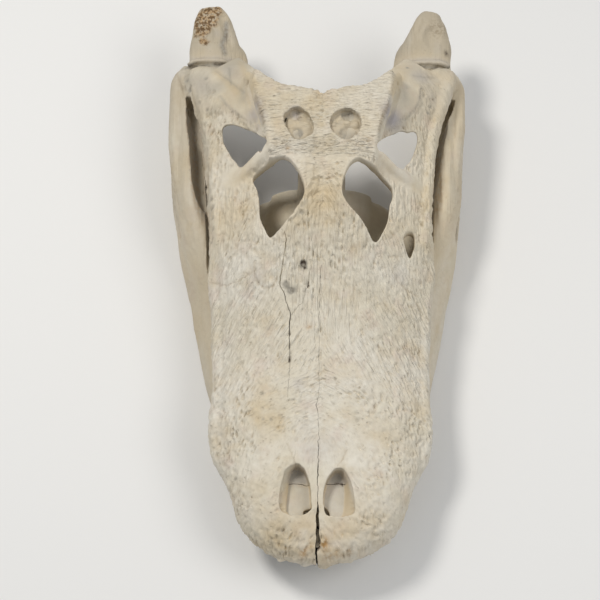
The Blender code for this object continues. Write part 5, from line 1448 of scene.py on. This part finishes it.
# clouds of ivory and chalk, buff, rose and moss patches, then the painted layers, pores, grooves and pits,
# with painted shade in the grooves' valleys and a painted highlight on their ridges; the bumps go from the
# finest grain to the pits
def boneMaterial(name, jaw):
    material, shader, put, noise, pores, flow, spread, sums, times, blend, painted, bump = nodeMaker(name)
    look = boneLook
    streaks = noise(120.0, 3.0, 0.55, (1.0, 0.12, 1.0))
    colour = blend(spread(noise(14.0, 4.0, 0.55), 0.38, 0.62), look["ivory"], look["chalk"])
    buffShare = spread(noise(34.0, 4.0, 0.6), 0.45, 0.75, 0.0, 0.75 if jaw else 0.55)
    pore = times(spread(pores(520.0), 0.0, 0.22, 1.0, 0.0), spread(noise(60.0, 2.0, 0.5), 0.5, 0.75))
    patches = [
        (times(buffShare, 0.85), "buff"),
        (spread(noise(48.0, 3.0, 0.5), 0.52, 0.75, 0.0, 0.42), "rose"),
        (spread(noise(27.0, 3.0, 0.5), 0.56, 0.8, 0.0, 0.45 if jaw else 0.22), "moss"),
        (spread(noise(190.0, 3.0, 0.6), 0.25, 0.75, 0.0, 0.16), "pit"),
        (spread(streaks, 0.5, 0.8, 0.0, 0.14), "pit"),
        (times(painted("warm"), 0.75), "buff"),
        (painted("cool"), "cool"),
        # grey tone of the bone, and painted grey shade
        (painted("grey"), "greyBoneAndShade"),
        # dirt and painted shade in the pits, valleys, seams and rims
        (times(painted("dirtAndShade"), 0.60), "pit"),
        (times(pore, 0.45), "pit"),
    ]
    if not jaw:
        patches.insert(6, (painted("pale"), "chalk"))
    for share, tint in patches:
        colour = blend(share, colour, look[tint])
    if jaw:
        fine = times(sums("SUBTRACT", flow(420.0, 90, 14.0), 0.5), 0.28)
        pits = times(spread(pores(330.0), 0.05, 0.3, 1.0, 0.0), spread(noise(70.0, 2.0, 0.5), 0.48, 0.66))
        pits = times(pits, 0.5)
    else:
        # fine grooves in four directions, each weighted by how near the painted angle is to it
        fine = 0.0
        for turned in (0, 30, 60, 90):
            off = sums("ABSOLUTE", sums("SUBTRACT", times(painted("angle"), 90.0), float(turned)))
            weight = spread(off, 0.0, 30.0, 1.0, 0.0)
            fine = sums("ADD", fine, times(weight, sums("SUBTRACT", flow(480.0, turned, 8.0), 0.5)))
        fine = times(fine, painted("groove"))
        ripple = times(sums("SUBTRACT", flow(560.0, 0, 5.0), 0.5), 1.7)
        fine = sums("ADD", fine, times(ripple, painted("ripple")))
        pits = times(spread(pores(250.0), 0.05, 0.36, 1.0, 0.0), spread(noise(70.0, 2.0, 0.5), 0.40, 0.58))
        pits = times(pits, painted("pitted"))
    # painted shade in the valleys of the fine grooves and in the small pits, and a painted highlight of chalk
    # on the grooves' ridges
    valleys = sums("ADD", spread(fine, -0.24, -0.04, 0.19, 0.0), times(pits, 0.18))
    colour = blend(valleys, colour, look["pit"])
    colour = blend(spread(fine, 0.05, 0.2, 0.0, 0.22), colour, look["chalk"])
    colour = blend(times(painted("rustAndShade"), spread(noise(230.0, 4.0, 0.7), 0.36, 0.6)), colour, look["rustAndShade"])
    if jaw:
        crumbs = times(painted("crust"), spread(noise(420.0, 3.0, 0.6), 0.44, 0.56))
        colour = blend(crumbs, colour, look["soil"])
    # painted shade: near black in the depths, broken up by noise
    depthShade = times(painted("depthShade"), spread(noise(300.0, 4.0, 0.7), 0.3, 0.52, 0.35, 1.0))
    put(blend(depthShade, colour, look["depthShade"]), shader.inputs["Base Color"])
    put(spread(noise(80.0, 3.0, 0.6), 0.3, 0.7, look["roughness"] - 0.10, look["roughness"] + 0.16),
        shader.inputs["Roughness"])
    put(look["gloss"], shader.inputs["Specular IOR Level"])
    grain = None
    for height, strength, depth in (
            (noise(900.0, 3.0, 0.6), 0.35, 0.0004), (noise(330.0, 4.0, 0.65), 0.45, 0.0009),
            (streaks, 0.18, 0.0012), (fine, 0.95, 0.0032), (times(pits, -1.0), 0.6, 0.0010),
            (times(pore, -1.0), 0.6, 0.0005)):
        grain = bump(height, strength, depth, grain)
    put(grain, shader.inputs["Normal"])
    return material


toothFinish = {
    "crown": (0.770, 0.715, 0.590),
    "neck": (0.560, 0.440, 0.270),
    "tip": (0.830, 0.800, 0.720),
    "line": (0.240, 0.160, 0.090),
    "gloss": 0.5,
}


# brown neck to cream crown to pale tip by the painted height, with dark hair cracks along the tooth
def toothMaterial(name):
    material, shader, put, noise, pores, flow, spread, sums, times, blend, painted, bump = nodeMaker(name)
    look = toothFinish
    height = painted("height")
    colour = blend(spread(height, 0.30, 0.62), look["neck"], look["crown"])
    colour = blend(spread(height, 0.7, 1.0, 0.0, 0.8), colour, look["tip"])
    colour = blend(spread(noise(90.0, 3.0, 0.6), 0.45, 0.75, 0.0, 0.35), colour, look["neck"])
    cracks = spread(noise(420.0, 2.0, 0.4, (1.0, 1.0, 0.12)), 0.63, 0.70)
    put(blend(times(cracks, 0.5), colour, look["line"]), shader.inputs["Base Color"])
    put(spread(noise(150.0), 0.3, 0.7, 0.24, 0.42), shader.inputs["Roughness"])
    put(look["gloss"], shader.inputs["Specular IOR Level"])
    put(bump(noise(500.0, 3.0, 0.5, (1.0, 1.0, 0.15)), 0.25, 0.0004), shader.inputs["Normal"])
    return material


# Colour layers: warm buff, grey tone and painted grey shade, dirt and painted shade in the pits, rust with
# painted shade on the jaws' inner walls, painted shade deep in the cracks, gaps and holes, and dark crust,
# from the places of each

# x, s, radius and share of warm buff, of rust, of bluish grey, in part painted shade by the table's edges and
# over the joints, and of brownish grey, painted as shade in hollows and holes
warmMm = (
    (-13, 300, 14, 0.9), (6, 301, 14, 0.9), (-2, 325, 16, 0.6), (-26, 284, 9, 0.8), (-53, 137, 14, 0.7),
    (-44, 114, 16, 0.9), (38, 108, 15, 0.55), (59, 111, 12, 0.5), (-62, 215, 10, 0.4), (-12, 202, 4, 1.0),
    (-77, 300, 15, 0.55), (-72, 335, 14, 0.5), (-2, 372, 5, 0.7), (-40, 372, 8, 0.7), (36, 372, 8, 0.6),
    (-2, 395, 12, 0.6), (-62, 402, 14, 0.55), (-36, 400, 10, 0.4), (-2, 20, 26, 0.6), (-38, 20, 14, 0.5),
    (-54, 55, 14, 0.4), (-30, 25, 18, 0.45), (28, 24, 20, 0.5), (0, 8, 24, 0.3), (28, 268, 8, 0.6),
    (-28, 272, 6, 0.5), (42, 60, 10, 0.3))
rustMm = (
    (3, 15.5, 3.4, 1.0), (3, 11.8, 2.6, 0.9), (-8.8, 12.5, 3.0, 0.6), (-14.7, 6.4, 2.8, 0.9),
    (-13, 9.5, 2.2, 0.5), (15, 6.5, 3.4, 0.6), (6, 5, 4, 0.7), (25.1, 9, 2.6, 0.55), (31.6, 23, 1.3, 0.5),
    (-11.2, 202.6, 2.4, 0.75), (-30.3, 347, 1.4, 0.8), (91, 95, 2.5, 0.35), (-26, 376, 2.6, 0.3))
coolMm = (
    (-60.9, 391, 7, 0.75), (-55, 379, 5, 0.55), (60, 385, 8, 0.95), (66, 392, 7, 0.6), (92, 448, 10, 0.5),
    (-88, 456, 8, 0.35), (-24.6, 384.4, 4.5, 0.8), (-9, 90, 12, 0.2), (5, 98, 12, 0.2), (-14, 112, 8, 0.15),
    (-57, 248, 7, 0.3), (-20, 150, 5, 0.35), (70, 250, 8, 0.25), (-112, 440, 8, 0.3), (100, 425, 9, 0.2))
greyMm = (
    (-22, 365.9, 4.8, 0.6), (21.5, 383.6, 5.6, 0.4), (21.5, 366.2, 7.5, 0.4), (-31.3, 238.2, 3.2, 0.9),
    (-27.2, 233.4, 3.6, 0.85), (79, 458, 1.8, 0.9), (-62.5, 384.5, 3.0, 0.3))
# the ridges on the smooth bone, and the table's edge over the side openings, with a painted shadow under it
yellowRidges = (
    ((-76, 465), (-67.8, 430.7), (-61.1, 409.6)), ((-99.3, 455.7), (-88.8, 437.8), (-77.3, 420.5)),
    ((72, 440), (66, 420), (62, 404)))
tableOverhangs = (
    ((58.3, 392.4), (54.4, 383.6), (51.7, 376.8), (50.2, 370.3), (49.6, 365.5)),
    ((-60.3, 398.8), (-54.8, 383), (-52, 372.6)))


# sum of bells about places, each with its radius and share
def spots(x, s, places):
    total = np.zeros(x.shape)
    for px, ps, radius, share in places:
        total += share * bell(np.hypot(x - px, s - ps), radius)
    return total


# sum of bells about lines
def bands(x, s, lines, width):
    return sum(bell(lineDistance(x, s, line), width) for line in lines)


# how near each point is to a line: 1 up to one distance, 0 from the other on
def beside(x, s, line, near, far):
    return 1 - ramp(lineDistance(x, s, line), near, far)


# layers of the cranium's colour: places, bands, zones and noise, each weighted by skin, wall or floor
def paintCranium(skull, raster):
    points, normals = pointsOf(skull)
    x, s, z = points.T
    skin = skinShare(raster, points, normals)
    inside = 1 - skin
    below = roofAt(raster, x, s) - z
    high = below < 14

    # noise of that size in millimetres
    def mottle(size, salt):
        return softNoise(x, s, z, size, salt)

    _, dirtAndShade, flow = craniumRelief(raster, points, normals)
    warm = np.clip(spots(x, s, warmMm), 0, 1) * skin * (0.65 + 0.5 * mottle(7.0, 71))
    # bluish grey tint, in part painted shade by the table's edges and over the joints
    cool = spots(x, s, coolMm) * high
    rustAndShade = spots(x, s, rustMm) * skin
    # painted shade: the walls and floors inside the openings are greyed
    grey = inside * 0.28 * (0.6 + 0.5 * mottle(12.0, 72))
    # painted shade: the single pits and the hollows of greyMm are greyed
    for px, ps, radius, deep, share in pitsMm:
        grey += share * np.clip(1.3 * bell(np.hypot(x - px, s - ps), radius * 1.05), 0, 1) * skin
    for px, ps, radius, share in greyMm:
        grey += share * (1 - ramp(np.hypot(x - px, s - ps), radius * 0.7, radius * 1.2)) * high
    # floors and rims of the table's pits: painted grey shade on the floors, and painted shade along the rims,
    # darkest in front
    _, floor = tableFloor(points, normals)
    warm += floor * 0.5
    grey += floor * (0.22 + 0.2 * mottle(4.0, 73))
    for outline in (rightTablePit, leftTablePit):
        rim = bell(edgeDistance(x, s, outline) + 1.2, 1.1) * ramp(z, 140, 144)
        grey += 0.45 * rim * ramp(normals[:, 2], 0.95, 0.6)
        dirtAndShade += 0.9 * rim * (1 - ramp(s, 362, 380))
    # floors and walls of the nostrils; behind the floor's seam, under the roof, shade is painted grey and
    # bluish
    chamber = np.maximum(*[ramp(-edgeDistance(x, s, outline), -0.5, 0.5) for outline in nostrilRims])
    chamber = chamber * ramp(-z, -79, -76) * ramp(z, 62, 66)
    behind = chamber * ramp(s, 63.6, 67)
    cool += behind * 0.5
    flat = ramp(normals[:, 2], 0.85, 0.97)
    grey = grey * (1 - 0.8 * chamber) + behind * 0.3 + chamber * flat * (0.30 + 0.06 * (x > 0))
    warm += chamber * (0.05 + 0.75 * (1 - flat))
    # smooth bone over the joints, with its ridges and folds; its grey is painted shade, more on the right,
    # and so are the grey lines beside the crests and in the folds
    smooth = ramp(s, 400, 412) * ramp(np.abs(x), 62, 70) * skin
    grey += smooth * (0.16 + 0.14 * (x < 0)) * (1 + mottle(14.0, 74))
    warm += smooth * 0.25 * (1 + mottle(18.0, 79)) + 0.75 * bands(x, s, yellowRidges, 3.2) * skin
    grey += 0.4 * bands(x, s, crestMm, 1.3) * skin * ramp(s, 388, 396)
    grey += 0.3 * bands(x, s, foldsMm, 1.2) * skin
    # painted shadow under the table's overhanging edge
    dirtAndShade += 0.8 * bands(x, s, tableOverhangs, 1.3) * (below < 9)
    warm += (0.22 * ramp(s, 255, 300) + 0.16 * (1 - ramp(s, 40, 75))) * skin
    warm += 0.3 * inside * ramp(s, 100, 140)
    # painted shade: the steep walls of the openings, from just under the rim down, are made brown as they
    # look in shadow
    wall = inside * (1 - ramp(np.abs(normals[:, 2]), 0.3, 0.7))
    wall = wall * ramp(below, 1, 6) * (1 - ramp(below, 22, 40))
    warm += wall * 0.55
    # painted shade: near black in the depths of the cracks, the gap, the sutures and the holes, and grey
    # round the deep hole
    depthShade = beside(x, s, crackMm, 0.8, 1.4) * ramp(below, 0.8, 2.0) * ramp(z, 70, 76)
    fine = np.maximum(*[beside(x, s, line, 0.3, 0.75) for line in (forkMm, midlineMm)])
    depthShade += fine * ramp(below, 1.6, 2.6) * ramp(z, 70, 76)
    depthShade += 1.2 * beside(x, s, gapMm, 2.5, 3.2) * ramp(below, 0.5, 1.8) * ramp(z, 42, 45)
    for line in narisSutures:
        depthShade += beside(x, s, line, 0.8, 1.6) * (z < 69.15) * ramp(z, 64, 66)
    for px, ps, radii in (holesMm[1], basinMm):
        depthShade += 0.4 * (1 - ramp(np.hypot(x - px, s - ps), 2.4, 3.6)) * ramp(below, 0.3, 1.4)
    d = np.hypot(x - holesMm[0][0], s - holesMm[0][1])
    depthShade += (1 - ramp(d, 3.0, 3.8)) * ramp(below, 0.4, 1.6) * (0.3 + 0.7 * ramp(d, 1.0, 2.6))
    grey += 0.9 * (1 - ramp(d, 3.2, 4.0))
    # the middle of the snout is whiter
    pale = skin * (0.6 * bell(np.hypot(x + 4, (s - 222) / 2), 26) + 0.03 * (1 - ramp(s, 30, 60)))
    pale = pale * (0.75 + 0.5 * mottle(11.0, 83))
    names = ("dirtAndShade", "warm", "grey", "cool", "rustAndShade", "depthShade", "pale", "angle", "groove", "pitted", "ripple")
    for name, values in zip(names, (dirtAndShade, warm, grey, cool, rustAndShade, depthShade, pale, *flow)):
        paint(skull, name, values)


# x, s, radius of the dark crust on the right process; streak beside it; seams of both jaws behind the cheeks,
# with painted shade
crustMm = (
    (-107, 525, 8), (-117, 512, 6.5), (-112, 508, 7), (-105, 514, 6.5), (-101, 526, 7), (-112, 494, 4.5),
    (-116, 502, 5), (-114, 518, 6))
crustStreak = ((-91, 512), (-91.1, 500), (-94.7, 489.7), (-92, 482))
jawSeams = (
    ((127.1, 449.6), (122.3, 441.7), (122.3, 437.9)), ((-137.3, 465.9), (-132.7, 452), (-129.5, 441.4)))


# layers of a jaw's colour: warm and grey noise, painted shade in the channel inside and in the seams, the
# paler back end and its crust
def paintJaw(jaw, sign):
    points, normals = pointsOf(jaw)
    x, s, z = points.T
    _, dirtAndShade = jawRelief(points, normals, sign)
    # the channel's inward-facing wall gets painted shade: grey, and rust brown
    channel = ramp(-normals[:, 0] * sign, 0.0, 0.6) * ramp(s, 300, 330) * (1 - ramp(s, 430, 445))
    channel = channel * ramp(np.abs(x), 100, 106)
    tip = ramp(s, 474, 490)
    # painted shade in the seam behind the joint, grey and near black in spots
    seam = bell(s - 470.5, 1.6) * ramp(z, 76, 82)
    warm = 0.71 + 0.45 * softNoise(x, s / 3, z, 16.0, 75)
    warm += 1.15 * tip * (0.8 + softNoise(x, s / 2, z, 9.0, 81))
    grey = channel * 0.45 + 0.12 * (1 + softNoise(x, s / 2, z, 18.0, 76)) * ramp(s, 300, 360)
    grey += 0.36 * tip + 0.07 + 0.16 * (sign < 0) * (1 - tip) + 0.7 * seam
    rustAndShade = channel * 0.35
    cool = 0.4 * bell(s - 476, 3.5) * ramp(z, 78, 84)
    depthShade = 0.55 * seam * ramp(softNoise(x, s, z, 4.0, 82), -0.1, 0.4)
    if sign < 0:
        crust = np.zeros(x.shape)
        crumbling = 2.5 * softNoise(x, s, z, 4.0, 77)
        for px, ps, radius in crustMm:
            share = 1 - ramp(np.hypot(x - px, s - ps) + crumbling, radius * 0.7, radius * 1.3)
            crust = np.maximum(crust, share)
        rustAndShade = np.maximum(rustAndShade, 0.8 * crust)
        streak = bell(lineDistance(x, s, crustStreak), 2.6) * (z > 80)
        grey += 0.6 * streak
        crust = np.maximum(crust, 0.35 * streak)
        cool += 0.35 * bell(np.hypot(x + 99, s - 500), 4)
    else:
        # painted shade in the pit of the left process
        depthShade += 0.9 * bell(np.hypot(x - 117.4, s - 484.8), 2.2)
        crust = 0.35 * bell(np.hypot(x - 110, s - 508), 9)
        warm += 0.1 * tip
    # painted shade along the seams behind the cheeks
    dirtAndShade += 0.7 * bands(x, s, jawSeams, 1.0) * (z > 60)
    names = ("dirtAndShade", "warm", "grey", "cool", "rustAndShade", "depthShade", "crust")
    for name, values in zip(names, (dirtAndShade, warm * 0.75, grey, cool, rustAndShade, depthShade, crust)):
        paint(jaw, name, values)


# Making

uppers = upperTeeth()
lowers = lowerTeeth()
cranium, roofMap = makeCranium(uppers)
paintCranium(cranium, roofMap)
smoothShade(cranium, craniumLook["sharpAngle"])
cranium.data.materials.clear()
cranium.data.materials.append(boneMaterial("weatheredBone", False))
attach(cranium, "root")
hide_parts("cranium")

jawBone = boneMaterial("lowerJawBone", True)
for side, sign in sides:
    jaw = makeJaw(side, sign, uppers, lowers)
    paintJaw(jaw, sign)
    smoothShade(jaw, jawLook["sharpAngle"])
    jaw.data.materials.clear()
    jaw.data.materials.append(jawBone)
    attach(jaw, "root")
    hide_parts(side + "_lower_jaw")

enamel = toothMaterial("toothEnamel")
for direction, level, teeth in ((-1, "upper", uppers), (1, "lower", lowers)):
    for index, (side, number, neck, crown, out) in enumerate(teeth):
        rings = toothRings(neck, crown, out, direction, 0.0, index)
        tooth = makeObject("tooth_%s_%s_%02d" % (level, side, number), tube(rings))
        z = pointsOf(tooth)[0][:, 2]
        paint(tooth, "height", 0.4 + 0.6 * (z - neck[2]) * direction / crown)
        smoothShade(tooth, toothLook["sharpAngle"])
        tooth.data.materials.append(enamel)
        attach(tooth, "root")
        if level == "upper" or number in toothLook["lowerSeparate"]:
            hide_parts("%s_%s_tooth_%02d" % (level, side, number))
print("teeth set", len(uppers) + len(lowers))


# Studio

studioLook = {
    "halfFloor": 6000.0,      # millimetres
    "floor": (0.80, 0.795, 0.78),
    "backLight": 0.42,
    "sky": (0.93, 0.96, 1.0),
    # place in metres, power, width and colour of each light
    "lights": {"key": ((-0.72, 0.38, 1.60), 15.0, 0.42, (1.0, 0.97, 0.92)),
               "fill": ((0.95, -0.25, 1.45), 8.5, 1.0, (1.0, 0.98, 0.95))},
    "aim": (0.0, 0.0, 0.05),
}
floorCorners = np.array([(-1, -1, 0), (1, -1, 0), (1, 1, 0), (-1, 1, 0)], float) * studioLook["halfFloor"]
floor = makeObject("studio_floor", (floorCorners, np.array([(0, 1, 2, 3)])))
floorMaterial = bpy.data.materials.new("studioFloor")
floorMaterial.use_nodes = True
floorShader = floorMaterial.node_tree.nodes["Principled BSDF"]
floorShader.inputs["Base Color"].default_value = (*studioLook["floor"], 1.0)
floorShader.inputs["Roughness"].default_value = 0.9
floor.data.materials.append(floorMaterial)

world = bpy.data.worlds.new("studio")
bpy.context.scene.world = world
world.use_nodes = True
sky = world.node_tree.nodes["Background"]
sky.inputs["Color"].default_value = (*studioLook["sky"], 1.0)
sky.inputs["Strength"].default_value = studioLook["backLight"]


# round area light at a place, its back axis pointing from the skull's middle to it
def areaLight(name, place, power, size, colour):
    data = bpy.data.lights.new(name, "AREA")
    data.energy = power
    data.shape = "DISK"
    data.size = size
    data.color = colour
    light = bpy.data.objects.new(name, data)
    bpy.context.scene.collection.objects.link(light)
    back = np.array(place, float) - np.array(studioLook["aim"])
    back /= np.linalg.norm(back)
    right = np.cross((0, 0, 1), back)
    right /= np.linalg.norm(right)
    turned = Matrix(np.column_stack([right, np.cross(back, right), back]).tolist()).to_4x4()
    light.matrix_world = Matrix.Translation(place) @ turned


for lightName, values in studioLook["lights"].items():
    areaLight(lightName, *values)

cameraLook = {
    "place": (-0.0159, -0.61704, 1.46076),
    "tilt": 23.0,
    "roll": 0.48,
    "lens": 101.1,
    "sensor": 36.0,
}
cameraData = bpy.data.cameras.new("camera")
cameraData.lens = cameraLook["lens"]
cameraData.sensor_width = cameraLook["sensor"]
cameraData.clip_end = 30.0
camera = bpy.data.objects.new("camera", cameraData)
bpy.context.scene.collection.objects.link(camera)
camera.matrix_world = (Matrix.Translation(cameraLook["place"])
                       @ Matrix.Rotation(cameraLook["tilt"] * pi / 180, 4, "X")
                       @ Matrix.Rotation(cameraLook["roll"] * pi / 180, 4, "Z"))
bpy.context.scene.camera = camera
bpy.context.scene.view_settings.view_transform = "Standard"
print("studio ready")
